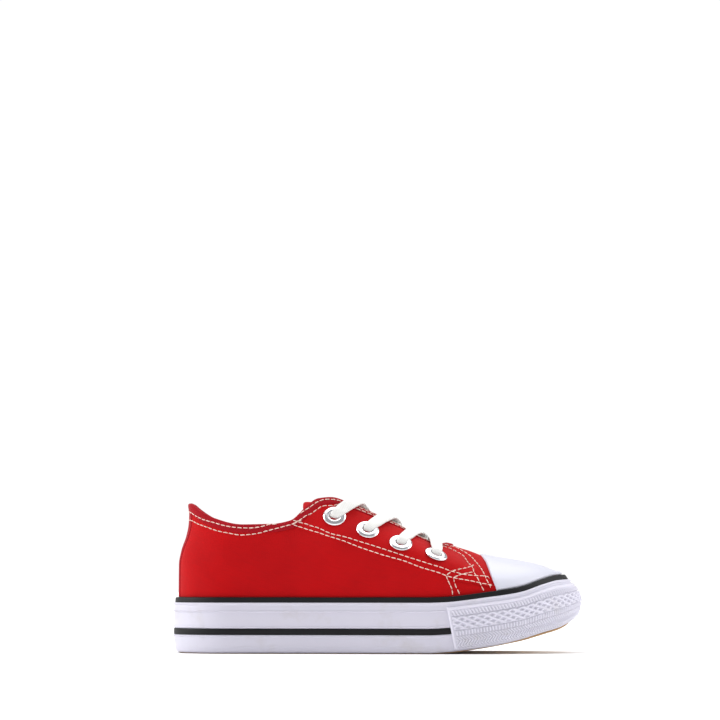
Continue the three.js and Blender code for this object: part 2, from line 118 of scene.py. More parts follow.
def unit(vectors):
    return vectors / np.maximum(np.linalg.norm(vectors, axis=-1, keepdims=True), 1e-12)


# ---- Sections, the same as the solids' ----
PLAN = Table(["x", "centre", "half"], [
    [0, 0, 25.6],
    [30, -0.3, 26.4],
    [66, -1.4, 27.2],
    [96, -1.3, 30.4],
    [124, -0.6, 34.2],
    [146, 0.8, 34.6],
    [166, 2.6, 34.2],
    [189, 4.2, 33.6],
])
SIDE = Table(["x", "ground", "edge", "ridge"], [
    [0, 0, 25.9, 52],
    [60, 0, 25.9, 52],
    [118, 0, 25.9, 51.6],
    [127, 0.5, 26.2, 50.6],
    [138, 1.8, 27.4, 47.8],
    [146, 3, 28.5, 44.9],
    [154, 4.5, 29.5, 43.3],
    [162, 6.1, 31, 42],
    [172, 8.8, 34.4, 39.8],
    [180, 11, 36.3, 37],
    [186, 13.7, 36.5, 36.6],
    [189, 15.4, 36.6, 36.6],
])
WALL = Table(["height", "side", "toe"], [
    [0, 1.7, 3.2],
    [0.05, 0.9, 1.9],
    [0.15, 0.35, 0.5],
    [0.35, 0, 0],
    [0.6, 0.1, 0.9],
    [0.85, 0.4, 3],
    [1, 0.8, 5.2],
])
VAMP = Table(["x", "across", "rise"], [
    [110, 1.9, 1.25],
    [135, 1.9, 1.35],
    [150, 2.1, 1.6],
    [170, 2.3, 1.5],
    [189, 2.3, 1.2],
])
TOPLINE = Table(["share", "x", "y", "z"], [
    [0, 6.9, 0, 69.5],
    [0.06, 8.2, 5.4, 68.9],
    [0.12, 12, 10.4, 66.2],
    [0.2, 20, 15.4, 62.2],
    [0.28, 33, 19.2, 59.4],
    [0.34, 47, 20.2, 59.7],
    [0.37, 55, 19, 61.2],
    [0.4, 63, 16, 68.3],
    [0.42, 67.5, 14.2, 71.4],
    [0.445, 73.5, 12.6, 72],
    [0.48, 81.5, 11.4, 69.6],
    [0.56, 101, 9.6, 61.1],
    [0.62, 113, 8.8, 55.8],
    [0.68, 120.5, 7.8, 53],
    [0.76, 124.8, 5.8, 51.7],
    [0.86, 126.6, 3.2, 50.8],
    [1, 127.2, 0, 50.5],
])
HEEL_CURVE = Table(["height", "inward"], [
    [0, 0],
    [0.35, 0.02],
    [0.5, 0.28],
    [0.65, 0.8],
    [0.78, 1.06],
    [0.9, 1.12],
    [1, 1],
])
TONGUE = Table(["x", "z", "flat", "half", "fall"], [
    [60.4, 70, 7, 11, 1.6],
    [62, 70.5, 8, 14.2, 3.2],
    [72, 69.3, 8.5, 14.8, 4.6],
    [81, 66.7, 8.5, 14.6, 4.8],
    [90, 63.1, 8, 14, 4.8],
    [100, 58.5, 7.5, 13.2, 4.6],
    [110, 54, 6.5, 12.2, 4.4],
    [118, 50.9, 5.5, 11.2, 4],
    [127, 47.7, 4.5, 10.2, 3],
    [134, 45.6, 4, 9.4, 2],
])
EYELETS = [(75.4, 63.0), (90.7, 56.7), (106.0, 50.5), (122.2, 45.2)]


# ---- The last ----
# u runs once round the shoe: 0 at the heel, along the outer side, 0.5 at the toe, back on the inner side.
def along(u):
    return 1 - np.abs(2 * (u - np.floor(u)) - 1)


def turn(share, side):
    return share / 2 if side < 0 else 1 - share / 2


def share_at(x):
    return np.arccos(1 - 2 * np.asarray(x) / SOLE_LENGTH) / np.pi


def outline(u):
    """The sole's plan: a half width beside a bent centre line, with quarter-ellipse ends."""
    x = SOLE_LENGTH * (1 - np.cos(np.pi * along(u))) / 2
    heel = 1 - np.clip(1 - x / HEEL_ROUND, 0, 1) ** 2
    toe = 1 - np.clip(1 - (SOLE_LENGTH - x) / TOE_ROUND, 0, 1) ** 2
    half = PLAN("half", x) * np.sqrt(heel * toe)
    side = np.where(u - np.floor(u) < 0.5, -1, 1)
    return x, PLAN("centre", x) + side * half


def inset(u, depth):
    """The outline moved inwards, square to itself."""
    x, y = outline(u)
    ax, ay = outline(u - TINY)
    bx, by = outline(u + TINY)
    scale = depth / np.hypot(bx - ax, by - ay)
    return x - scale * (by - ay), y + scale * (bx - ax)


def wall(u, f, depth):
    """The sole's outer wall: f is 0 at the underside and 1 at the top edge, and depth goes in from it."""
    u, f = np.broadcast_arrays(u, f)
    tip = smooth(*TIP_LEAN, outline(u)[0])
    lean = mix(WALL("side", f), WALL("toe", f), tip)
    x, y = inset(u, lean + depth)
    return np.stack([x, y, mix(SIDE("ground", x), SIDE("edge", x), f)], axis=-1)


def foxing_depth(f):
    return mix(FOXING_BOTTOM, FOXING_TOP, f)


def foot(u):
    """Where the upper leaves the foxing."""
    return wall(u, 1.0, FOXING_TOP + GAP)


FOOT_SIDES = [foot(turn(np.linspace(0.001, 0.999, 600), side)) for side in (-1, 1)]


def vamp_height(x, y):
    """The toe box as a height over the plan: rounded cross sections under the ridge line."""
    middle = PLAN("centre", x)
    outer, inner = [np.interp(x, line[:, 0], line[:, 1]) for line in FOOT_SIDES]
    edge = np.where(y < middle, outer, inner)
    reach = np.clip((y - middle) / (edge - middle), 0, 1)
    arch = (1 - reach ** VAMP("across", x)) ** (1 / VAMP("rise", x))
    return mix(SIDE("edge", x), SIDE("ridge", x), arch)


def knee(t):
    """The instep's side line: upright at first, then leaning in evenly above a soft bend."""
    bend = [t - KNEE + np.hypot(t - KNEE, KNEE_SOFTNESS) for t in (t, 0.0, 1.0)]
    return (bend[0] - bend[1]) / (bend[2] - bend[1])


def upper_face(u, v):
    """The upper's outer face without creases: v is 0 at its lower edge, behind the foxing, and 1 on top.

    Below it stands against the foxing. Above, a side line leans from the foot to the top edge, and a toe
    line runs over the toe box to the throat. The one turns into the other in front of the instep.
    """
    u, v = np.broadcast_arrays(u, v)
    f = mix(OUTSOLE_TOP + SLIT, 1, np.clip(v / HIDDEN_SHARE, 0, 1))
    behind = wall(u, f, foxing_depth(f) + GAP)
    share = along(u)
    t = np.clip((v - HIDDEN_SHARE) / (1 - HIDDEN_SHARE), 0, 1)
    low = foot(u)
    side = np.where(u - np.floor(u) < 0.5, -1, 1)
    top = np.stack([TOPLINE("x", share), TOPLINE("y", share) * side, TOPLINE("z", share)], axis=-1)
    heel = 1 - smooth(*HEEL_ENDS, share)
    side_line = mix(t ** FULLNESS, knee(t), smooth(*INSTEP, share))
    inward = mix(side_line, HEEL_CURVE("inward", t), heel)
    quarter = np.stack([
        mix(low[..., 0], top[..., 0], inward),
        mix(low[..., 1], top[..., 1], inward),
        mix(low[..., 2], top[..., 2], t),
    ], axis=-1)
    x = mix(low[..., 0], top[..., 0], t * t)
    y = mix(low[..., 1], top[..., 1], t * t)
    vamp = np.stack([x, y, vamp_height(x, y)], axis=-1)
    visible = mix(quarter, vamp, smooth(*TOE_BOX, share)[..., None])
    return np.where((v < HIDDEN_SHARE)[..., None], behind, visible)


def upper_slopes(u, v):
    round_way = (upper_face(u + TINY, v) - upper_face(u - TINY, v)) / (2 * TINY)
    high = np.minimum(v + TINY, 1)
    low = np.maximum(v - TINY, 0)
    up_way = (upper_face(u, high) - upper_face(u, low)) / (high - low)[..., None]
    return round_way, up_way


def upper_normal(u, v):
    u, v = np.broadcast_arrays(u, v)
    return unit(np.cross(*upper_slopes(u, v)))


def off_upper(u, v, height):
    """A point at some height off the upper's face, with the creases pressed into it."""
    u, v = np.broadcast_arrays(u, v)
    return upper_face(u, v) + upper_normal(u, v) * (height + creases(u, v))[..., None]


# Creases worn into the canvas, seen from the side. A negative depth is a ridge.
CREASES = [
    # x and z of its middle, length, width, the way it runs in degrees from the toe direction, depth
    (136.5, 40.5, 13, 2.2, 62, 0.35),
    (133.0, 41.5, 13, 2.2, 62, -0.2),
    (124.0, 34.0, 16, 3.0, 35, 0.25),
    (104.0, 38.0, 30, 4.5, 20, 0.3),
    (98.0, 43.0, 30, 4.0, 18, -0.2),
    (62.0, 46.0, 26, 6.0, 50, 0.35),
    (70.0, 43.0, 24, 5.0, 52, -0.25),
    (30.0, 48.0, 18, 5.0, -18, 0.3),
    (24.0, 37.0, 20, 6.0, -60, 0.2),
    (14.0, 47.0, 9, 4.0, 10, 0.3),
    (134.5, 45.0, 5, 1.2, -50, 0.28),
    (138.5, 41.5, 5, 1.1, -25, 0.3),
    (141.5, 37.0, 5, 1.1, -10, 0.32),
    (143.5, 32.5, 4, 1.0, 5, 0.3),
]


def creases(u, v):
    """Soft troughs and ridges: a bell curve across each crease times one along it, on both sides."""
    at = upper_face(u, v)
    total = np.zeros(at.shape[:-1])
    for x, z, length, width, angle, depth in CREASES:
        c, s = math.cos(math.radians(angle)), math.sin(math.radians(angle))
        ahead = (at[..., 0] - x) * c + (at[..., 2] - z) * s
        aside = (at[..., 2] - z) * c - (at[..., 0] - x) * s
        total -= depth * np.exp(-((ahead / length) ** 2) * 2 - (aside / width) ** 2)
    shown = smooth(HIDDEN_SHARE, HIDDEN_SHARE + 0.12, v) * (1 - smooth(0.9, 1.0, v))
    return total * shown * (1 - smooth(0.7, 0.8, along(u)))


def find_from_side(x, z, side=-1):
    """Places on the upper that show at points of the side view, by Newton's method."""
    x, z = np.asarray(x, float), np.asarray(z, float)
    share = share_at(x)
    v = np.full(x.shape, 0.85)
    for _ in range(14):
        u = turn(share, side)
        here = upper_face(u, v)
        ahead = (upper_face(turn(share + TINY, side), v) - here) / TINY
        above = (here - upper_face(u, v - TINY)) / TINY
        det = ahead[..., 0] * above[..., 2] - above[..., 0] * ahead[..., 2]
        dx, dz = x - here[..., 0], z - here[..., 2]
        share = np.clip(share + (dx * above[..., 2] - dz * above[..., 0]) / det, 0.001, 0.999)
        v = np.clip(v + (dz * ahead[..., 0] - dx * ahead[..., 2]) / det, HIDDEN_SHARE, 1)
    return share, v


def meet(share, curve, by_height=False):
    """How far up each line of the upper meets a curve of the side view: height over x, or x over height."""
    key, value = np.array(curve, float).T
    low = np.full(share.shape, HIDDEN_SHARE)
    high = np.ones(share.shape)
    for _ in range(30):
        half = (low + high) / 2
        at = upper_face(turn(share, -1), half)
        if by_height:
            past = at[..., 0] < np.interp(at[..., 2], key, value)
        else:
            past = at[..., 2] > smooth_curve(key, value, at[..., 0])
        high = np.where(past, half, high)
        low = np.where(past, low, half)
    return (low + high) / 2


def land(points, u, v):
    """The places on the upper nearest to points, from a first guess, by stepping along the face."""
    for _ in range(6):
        round_way, up_way = upper_slopes(u, v)
        off = points - upper_face(u, v)
        a = (round_way ** 2).sum(-1)
        b = (round_way * up_way).sum(-1)
        c = (up_way ** 2).sum(-1)
        p = (round_way * off).sum(-1)
        q = (up_way * off).sum(-1)
        det = a * c - b * b
        u = u + np.clip((p * c - q * b) / det, -0.02, 0.02)
        v = np.clip(v + (q * a - p * b) / det, HIDDEN_SHARE, 1)
    return u, v


def below_edge(u, distance):
    """Places at a distance from the top edge, square to it along the face."""
    distance = np.broadcast_to(distance, u.shape)
    edge = np.ones(u.shape)
    run = unit(upper_face(u + TINY, edge) - upper_face(u - TINY, edge))
    inward = unit(np.cross(run, upper_normal(u, edge)))
    here, v = u, edge
    for part in (0.5, 1.0):
        target = upper_face(u, edge) + inward * (distance * part)[..., None]
        here, v = land(target, here, v - 0.02 * part)
    return here, v


# ---- Meshes ----
def add_object(name, data):
    made = bpy.data.objects.new(name, data)
    bpy.context.scene.collection.objects.link(made)
    return made


def make_mesh(name, points, faces, uv):
    """A closed piece from points in millimetres, a list of faces and a place for each face's corners."""
    mesh = bpy.data.meshes.new(name)
    mesh.from_pydata(((points.reshape(-1, 3) - ORIGIN) * MM).tolist(), [], faces)
    mesh.uv_layers.new(name="cloth").data.foreach_set("uv", np.asarray(uv, np.float32).ravel())
    mesh.polygons.foreach_set("use_smooth", np.ones(len(mesh.polygons), bool))
    mesh.update()
    face_out(mesh)
    return add_object(name, mesh)


def grid_faces(rows, columns, ring_rows, ring_columns):
    """Faces of a grid, and their corners' places in a grid with the closing row and column once more."""
    down = np.arange(rows if ring_rows else rows - 1)
    across = np.arange(columns if ring_columns else columns - 1)
    r, c = (part.ravel() for part in np.meshgrid(down, across, indexing="ij"))
    corners = [(r, c), (r, c + 1), (r + 1, c + 1), (r + 1, c)]
    faces = np.stack([(a % rows) * columns + b % columns for a, b in corners], axis=-1)
    wide = columns + ring_columns
    places = np.stack([a * wide + b for a, b in corners], axis=-1)
    return faces, places


def grid_uv(points, ring_rows, ring_columns, places):
    """Distances in millimetres along rows and columns at each corner's place, for patterns on a piece."""
    p = points
    if ring_rows:
        p = np.concatenate([p, p[:1]], axis=0)
    if ring_columns:
        p = np.concatenate([p, p[:, :1]], axis=1)
    down = np.linalg.norm(np.diff(p, axis=0), axis=-1)
    across = np.linalg.norm(np.diff(p, axis=1), axis=-1)
    v = np.concatenate([np.zeros((1, p.shape[1])), np.cumsum(down, axis=0)], axis=0)
    middle = np.broadcast_to(np.median(across, axis=0), across.shape)
    u = np.concatenate([np.zeros((p.shape[0], 1)), np.cumsum(middle, axis=1)], axis=1)
    return np.stack([u, v], axis=-1).reshape(-1, 2)[places].reshape(-1, 2)


def grid_piece(name, points, ring_rows=False, ring_columns=False, caps=False):
    """A piece from a grid of points, closed by ring rows or columns and by caps on its end rows."""
    rows, columns = points.shape[:2]
    faces, places = grid_faces(rows, columns, ring_rows, ring_columns)
    faces = faces.tolist()
    uv = grid_uv(points, ring_rows, ring_columns, places)
    if caps:
        ring = list(range(columns))
        faces += [ring[::-1], [(rows - 1) * columns + c for c in ring]]
        uv = np.concatenate([uv, np.zeros((2 * columns, 2))])
    return make_mesh(name, points, faces, uv)


def face_out(mesh):
    """Turns a closed mesh's faces outwards, if the volume inside them comes out negative."""
    mesh.calc_loop_triangles()
    corners = np.empty(len(mesh.loop_triangles) * 3, np.int32)
    mesh.loop_triangles.foreach_get("vertices", corners)
    co = np.empty(len(mesh.vertices) * 3)
    mesh.vertices.foreach_get("co", co)
    a, b, c = co.reshape(-1, 3)[corners.reshape(-1, 3)].transpose(1, 0, 2)
    if (a * np.cross(b, c)).sum() < 0:
        mesh.flip_normals()
        mesh.update()


def ring_turns(count):
    return np.arange(count) / count


def ring_angles(count):
    return 2 * np.pi * np.arange(count) / count


def round_profile(points, radius, parts=4):
    """A closed outline with its corners rounded, each by a quadratic curve between two points beside it."""
    points = np.array(points, float)
    before, after = np.roll(points, 1, axis=0), np.roll(points, -1, axis=0)
    radius = np.broadcast_to(radius, len(points))
    out = []
    for p, a, b, r in zip(points, before, after, radius):
        da, db = np.linalg.norm(a - p), np.linalg.norm(b - p)
        start = p + (a - p) * min(r / da, 0.45)
        end = p + (b - p) * min(r / db, 0.45)
        t = np.linspace(0, 1, parts + 1)[:, None]
        out.append(start * (1 - t) ** 2 + 2 * p * t * (1 - t) + end * t ** 2)
    return np.concatenate(out)


# ---- Shader maths ----
class Value:
    """A socket that adds Math nodes as it is used in an expression."""

    def __init__(self, finish, socket):
        self.finish = finish
        self.socket = socket

    def _math(self, operation, first, second):
        return self.finish.node("ShaderNodeMath", {"operation": operation}, {0: first, 1: second})

    def __add__(self, other):
        return self._math("ADD", self, other)

    __radd__ = __add__

    def __mul__(self, other):
        return self._math("MULTIPLY", self, other)

    __rmul__ = __mul__

    def __sub__(self, other):
        return self._math("SUBTRACT", self, other)

    def __rsub__(self, other):
        return self._math("SUBTRACT", other, self)

    def __truediv__(self, other):
        return self._math("DIVIDE", self, other)

    def sin(self):
        return self._math("SINE", self, 0.0)

    def abs(self):
        return self._math("ABSOLUTE", self, 0.0)

    def least(self, other):
        return self._math("MINIMUM", self, other)

    def most(self, other):
        return self._math("MAXIMUM", self, other)


class Finish:
    """A material with one Principled shader. Constant values are set straight on its sockets."""

    def __init__(self, name, **constants):
        self.material = bpy.data.materials.new(name)
        self.material.use_nodes = True
        self.tree = self.material.node_tree
        self.shader = self.tree.nodes["Principled BSDF"]
        for socket, value in constants.items():
            self.shader.inputs[socket.replace("_", " ")].default_value = value

    def node(self, kind, settings=None, inputs=None, output=0):
        made = self.tree.nodes.new(kind)
        for name, value in (settings or {}).items():
            if name == "stops":
                self.set_stops(made.color_ramp, value)
            else:
                setattr(made, name, value)
        for key, value in (inputs or {}).items():
            if isinstance(value, Value):
                self.tree.links.new(value.socket, made.inputs[key])
            else:
                made.inputs[key].default_value = value
        return Value(self, made.outputs[output])

    @staticmethod
    def set_stops(ramp, stops):
        while len(ramp.elements) < len(stops):
            ramp.elements.new(1.0)
        for element, (place, colour) in zip(ramp.elements, stops):
            element.position = place
            element.color = (*colour, 1.0)

    def link(self, socket, value):
        self.tree.links.new(value.socket, self.shader.inputs[socket])

    def blend(self, factor, first, second):
        return self.node("ShaderNodeMix", {"data_type": "RGBA"}, {0: factor, 6: first, 7: second}, output=2)

    def place(self):
        return self.node("ShaderNodeTexCoord", output="Object")

    def cloth(self):
        """The piece's own places along its surface, in millimetres."""
        return self.node("ShaderNodeUVMap", {"uv_map": "cloth"})

    def split(self, vector):
        node = self.node("ShaderNodeSeparateXYZ", inputs={0: vector}).socket.node
        return [Value(self, node.outputs[i]) for i in range(3)]

    def noise(self, where, size, detail=2.0, roughness=0.5):
        """Noise whose lumps are about size across, in the units of where."""
        inputs = {"Vector": where, "Scale": 1.0 / size, "Detail": detail, "Roughness": roughness}
        return self.node("ShaderNodeTexNoise", inputs=inputs)

    def ramp(self, value, stops):
        return self.node("ShaderNodeValToRGB", {"stops": stops}, {0: value})

    def raise_by(self, height, distance, normal=None, strength=1.0):
        inputs = {"Height": height, "Distance": distance, "Strength": strength}
        if normal is not None:
            inputs["Normal"] = normal
        return self.node("ShaderNodeBump", inputs=inputs)


def rgb(red, green, blue):
    """Linear colour from display values out of 255, with full alpha."""
    parts = [c / 255 for c in (red, green, blue)]
    return (*[c / 12.92 if c <= 0.04045 else ((c + 0.055) / 1.055) ** 2.4 for c in parts], 1.0)


RIB_PITCH = 0.95
SLUB_STRETCH = (0.25, 1.6, 1.0)


def canvas_finish(name, colour, deep, pale, pitch=0.52):
    """Plain weave: two sets of threads that pass over and under each other, with slubs and uneven dye."""
    f = Finish(name, Roughness=0.86, Specular_IOR_Level=0.12, Sheen_Weight=0.03, Sheen_Roughness=0.45)
    cloth = f.cloth()
    across, up, _ = f.split(cloth)
    warp = (across * (math.pi / pitch)).sin()
    weft = (up * (math.pi / pitch)).sin()
    weave = warp * weft
    threads = (1 - (1 - warp.abs()) * (1 - weft.abs())) * 0.5 + weave * 0.25
    ribs = (across * (math.pi / RIB_PITCH)).sin().abs() * f.noise(f.place(), 0.02, 2)
    stretched = f.node("ShaderNodeVectorMath", {"operation": "MULTIPLY"}, {0: cloth, 1: SLUB_STRETCH})
    slub = f.noise(stretched, 1.6, 3)
    dye = f.noise(f.place(), 0.016, 3)
    fuzz = f.noise(f.place(), 0.0006, 2)
    tone = f.ramp(dye * 0.6 + slub * 0.4, [(0.3, deep[:3]), (0.72, colour[:3])])
    tone = f.blend((threads * 0.45 + ribs * 0.3).least(1.0), tone, f.blend(0.5, tone, pale))
    f.link("Base Color", tone)
    normal = f.raise_by(threads * 0.7 + slub * 0.2 + fuzz * 0.25, 0.00012, strength=0.55)
    f.link("Normal", f.raise_by(dye, 0.0011, normal, strength=0.35))
    f.link("Roughness", 0.82 + slub * 0.12)
    return f.material


# Painted shade: the grey laid into the bumper's grooves.
GROOVE_SHADE = rgb(112, 110, 124)
DIRTY_HEIGHT = 0.012


def rubber_finish(name, colour, stain, roughness=0.42, grain=0.00004, specular=0.42, grooves=0.0):
    """Moulded rubber: satin with a faint grain, a little dirt in patches and low down, and painted shade in
    grooves.
    """
    f = Finish(name, Specular_IOR_Level=specular)
    where = f.place()
    _, _, height = f.split(where)
    patches = f.noise(where, 0.013, 4, 0.6)
    fine = f.noise(where, 0.0011, 3)
    low = (1 - height / DIRTY_HEIGHT).most(0.0).least(1.0)
    dirt = ((patches - 0.56) * 2.2 + low * 0.12).most(0.0).least(0.5) * (0.4 + fine * 0.6)
    base = f.blend(dirt, colour, stain)
    # Painted shade in the grooves, by the relief attribute: deepest at a groove's bottom, none on a ridge.
    if grooves:
        depth = 1 - f.node("ShaderNodeAttribute", {"attribute_name": "relief"}, output=2)
        base = f.blend(depth * grooves, base, GROOVE_SHADE)
    f.link("Base Color", base)
    f.link("Roughness", roughness + patches * 0.12 + dirt * 0.2)
    f.link("Normal", f.raise_by(fine + patches * 2.0, grain, strength=0.5))
    return f.material


BLACK = (0.0, 0.0, 0.0, 1.0)
SMUDGE_GREY = (0.3, 0.3, 0.32, 1.0)


def cord_finish(name, colour, pitch):
    """Twisted or braided yarn: slanting strands that cross, a little shaded between them."""
    f = Finish(name, Roughness=0.8, Specular_IOR_Level=0.25, Sheen_Weight=0.1, Sheen_Roughness=0.5)
    across, up, _ = f.split(f.cloth())
    one = ((across + up) * (math.pi / pitch)).sin().abs()
    two = ((across - up) * (math.pi / pitch)).sin().abs()
    strands = one.most(two)
    fuzz = f.noise(f.place(), 0.0005, 2)
    shade = (strands * 0.7 + 0.3).least(1.0)
    f.link("Base Color", f.blend(shade, f.blend(0.35, colour, BLACK), colour))
    f.link("Normal", f.raise_by(strands + fuzz * 0.4, 0.0002, strength=0.8))
    f.link("Roughness", 0.74 + fuzz * 0.12)
    return f.material


def metal_finish(name, colour):
    """Plated steel with fine scratches and faint smudges."""
    f = Finish(name, Metallic=1.0)
    where = f.place()
    smudge = f.noise(where, 0.003, 3)
    fine = f.noise(where, 0.0003, 2)
    f.link("Base Color", f.blend(smudge * 0.3, colour, f.blend(0.3, colour, SMUDGE_GREY)))
    f.link("Roughness", 0.16 + smudge * 0.14)
    f.link("Normal", f.raise_by(fine, 0.00001, strength=0.3))
    return f.material


# ---- Stage: floor, light and camera ----
# The world is white near the horizon and dimmer overhead, so that the suns can shape the shoe.
SKY_STOPS = [(0.0, (1.03, 1.03, 1.03)), (0.22, (1.03, 1.03, 1.03)), (0.45, (0.36, 0.36, 0.37))]
FLOOR_HALF = 6.0
FLOOR_WHITES = [(0.0, (0.94, 0.94, 0.94)), (1.0, (0.95, 0.95, 0.95))]
SUNS = [
    # name, height and the side it comes from in degrees, softness in degrees, strength
    ("top", 72, 90, 60, 2.1),
    ("left", 30, 180, 40, 2.0),
    ("right", 32, 2, 40, 1.3),
]


def build_stage():
    world = bpy.data.worlds.new("studio")
    world.use_nodes = True
    tree = world.node_tree
    where = tree.nodes.new("ShaderNodeTexCoord").outputs["Generated"]
    split = tree.nodes.new("ShaderNodeSeparateXYZ")
    ramp = tree.nodes.new("ShaderNodeValToRGB")
    Finish.set_stops(ramp.color_ramp, SKY_STOPS)
    tree.links.new(where, split.inputs[0])
    tree.links.new(split.outputs["Z"], ramp.inputs[0])
    tree.links.new(ramp.outputs[0], tree.nodes["Background"].inputs[0])
    bpy.context.scene.world = world
    bpy.context.scene.view_settings.view_transform = "Standard"
    far = FLOOR_HALF
    mesh = bpy.data.meshes.new("floor")
    mesh.from_pydata([(-far, -far, 0), (far, -far, 0), (far, far, 0), (-far, far, 0)], [], [(0, 1, 2, 3)])
    f = Finish("floor_white", Roughness=0.9, Specular_IOR_Level=0.0)
    f.link("Base Color", f.ramp(f.noise(f.place(), 0.8), FLOOR_WHITES))
    mesh.materials.append(f.material)
    floor = add_object("floor", mesh)
    for name, height, azimuth, softness, strength in SUNS:
        light = bpy.data.lights.new(name, "SUN")
        light.angle = math.radians(softness)
        light.energy = strength
        lamp = add_object(name, light)
        lamp.rotation_euler = (math.radians(90 - height), 0, math.radians(azimuth + 90))


SENSOR_WIDTH = 36
CAMERA_DISTANCE = 1.35
CAMERA_HEIGHT = 0.0345
CAMERA_ASIDE = -0.008
VIEW_CENTRE = 0.1376
VIEW_WIDTH = 0.3395


def build_camera():
    data = bpy.data.cameras.new("camera")
    data.sensor_width = SENSOR_WIDTH
    data.lens = SENSOR_WIDTH * CAMERA_DISTANCE / VIEW_WIDTH
    data.clip_end = 50
    camera = add_object("camera", data)
    camera.location = (CAMERA_ASIDE, -CAMERA_DISTANCE, CAMERA_HEIGHT)
    pitch = math.atan2(VIEW_CENTRE - CAMERA_HEIGHT, CAMERA_DISTANCE)
    camera.rotation_euler = (math.radians(90) + pitch, 0, 0)
    bpy.context.scene.camera = camera


def finish_piece(piece, material, slot, *nodes):
    piece.data.materials.append(material)
    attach(piece, "root")
    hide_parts(*nodes)


# ---- Sole ----
WALL_COLUMNS = 320
HEM = 0.026
HEM_ENDS = (150, 172)


def wall_ring(profile, hem=0.0):
    """Points of a ring round the shoe. Its closed profile is heights up the wall and depths in from it.

    The hem lowers the bottom of the profile, except at the toe.
    """
    f, depth = np.array(profile, float).T
    u = ring_turns(WALL_COLUMNS)[None, :]
    behind_toe = 1 - smooth(*HEM_ENDS, outline(u)[0])
    f = f[:, None] - hem * behind_toe * (1 - smooth(f.min(), f.min() + 0.1, f))[:, None]
    return wall(u, f, depth[:, None])


UPPER_BAND = 0.4
FOXING_RELIEF = [
    # centre up the wall, half width, height in mm
    (0.308, 0.022, 0.55),
    (0.472, 0.022, 0.55),
    (0.877, 0.024, 0.6),
    (0.752, 0.014, 0.5),
]


def foxing_relief(f):
    """Raised lines beside the stripes, and an upper band that stands a little prouder than the rest."""
    total = UPPER_BAND * smooth(0.735, 0.752, f)
    for centre, half, height in FOXING_RELIEF:
        total = total + height * bump(f, centre, half)
    return total


def build_foxing(white):
    """The white wall: raised lines and a groove for the lower stripe on its face, and a plain back."""
    low, high = OUTSOLE_EDGE + SLIT * 0.4, STRIPE_TOP
    start, end = STRIPE_LOW
    soft = 0.004
    f = np.linspace(low, high, 150)
    groove = smooth(start - soft, start, f) * (1 - smooth(end, end + soft, f))
    face = 0.9 * groove - foxing_relief(f) + 0.5 * (1 - smooth(low, low + 0.02, f))
    outer = np.stack([f, face], axis=-1)
    inner = np.stack([f[::-10], foxing_depth(f[::-10])], axis=-1)
    ring = wall_ring(np.concatenate([outer, inner]), HEM)
    finish_piece(grid_piece("foxing_rubber", ring, True, True), white, "white_rubber", "foxing")


STRIPES = [
    # node, lower and upper edge, depth of the back, how far the face stands out
    ("stripe_top", STRIPE_TOP, 1.0, FOXING_TOP, 0.12),
    ("stripe_lower", *STRIPE_LOW, 0.85, 0.06),
]
STRIPE_CORNERS = [0.3, 0.5, 0.3, 0.2]


def build_stripes(black):
    """The two stripes: boxes in section, with each corner rounded."""
    scale = np.array([WALL_HEIGHT, 1.0])
    for node, low, high, back, proud in STRIPES:
        corners = np.array([(low, -proud), (high, -proud), (high, back), (low, back)])
        profile = round_profile(corners * scale, STRIPE_CORNERS) / scale
        piece = grid_piece(f"{node}_rubber", wall_ring(profile), True, True)
        finish_piece(piece, black, "black_rubber", node)


# ---- Seams ----
# Points of the side view that each seam passes, x forward and z up. The inner side has the same.
COLLAR_HIGH = [
    (6.7, 66.1), (11.7, 63.4), (15.2, 61.7), (19.6, 60.3), (24.6, 58.8), (30.7, 57.9), (35.9, 57.7),
    (41.7, 58.4), (45.7, 59.6),
]
COLLAR_LOW = [
    (7.5, 61.9), (11.7, 60.0), (16.3, 58.3), (20.9, 56.6), (26.3, 55.5), (32.2, 54.6), (38.4, 55.1),
    (45.4, 56.7), (52.6, 58.5), (56.0, 59.4), (58.7, 60.8),
]
STAY_HIGH = [
    (55.9, 61.4), (59.8, 60.1), (65.9, 58.3), (75.4, 54.6), (84.8, 52.1), (96.3, 48.5), (104.8, 45.7),
    (116.8, 41.9), (124.3, 39.5), (129.6, 37.6), (133.1, 36.7), (138.4, 35.7), (144.6, 35.3),
    (147.1, 34.6),
]
STAY_LOW = [
    (55.9, 59.4), (58.6, 58.4), (63.8, 56.8), (71.3, 54.4), (81.3, 51.1), (88.4, 48.4), (99.4, 44.8),
    (107.2, 42.7), (115.1, 39.7), (123.5, 37.1), (126.7, 35.8), (130.1, 34.8), (135.4, 33.8),
    (140.4, 32.8), (148, 31.3),
]
LOBE_OUTER = [
    (59.4, 64.2), (63.0, 66.5), (65.7, 68.4), (67.9, 69.8), (70.4, 70.6), (73.6, 70.7), (77.3, 70.0),
]
LOBE_INNER = [
    (55.9, 59.4), (60.0, 61.5), (62.3, 63.2), (65.4, 64.8), (67.7, 66.5), (69.4, 67.7), (71.3, 68.0),
    (73.8, 68.0),
]
FRONT_INNER = [
    (128.4, 48.3), (130.2, 47.5), (134.2, 45.4), (136.3, 43.3), (138.4, 40.3), (140.4, 35.7),
    (143.1, 30.9), (144.2, 28.8),
]
FRONT_OUTER = [
    (131.6, 48.6), (134.7, 47.0), (138.2, 44.8), (141, 41.6), (143.8, 37.4), (145.8, 33.0), (147.3, 30.1),
]
TIE_HIGH = [(126.7, 35.9), (129.4, 37.6), (133.1, 38.6), (136.7, 39.4), (139.9, 40.7)]
TIE_LOW = [(130.1, 34.9), (133.7, 36.3), (139.1, 37.3)]
VAMP_BACK = [(126.7, 35.9), (128.2, 32.3), (129.5, 29.2), (129.7, 26.9)]
VAMP_FRONT = [(130.1, 34.9), (130.8, 32.2), (132.1, 29.2), (133.1, 27.2)]
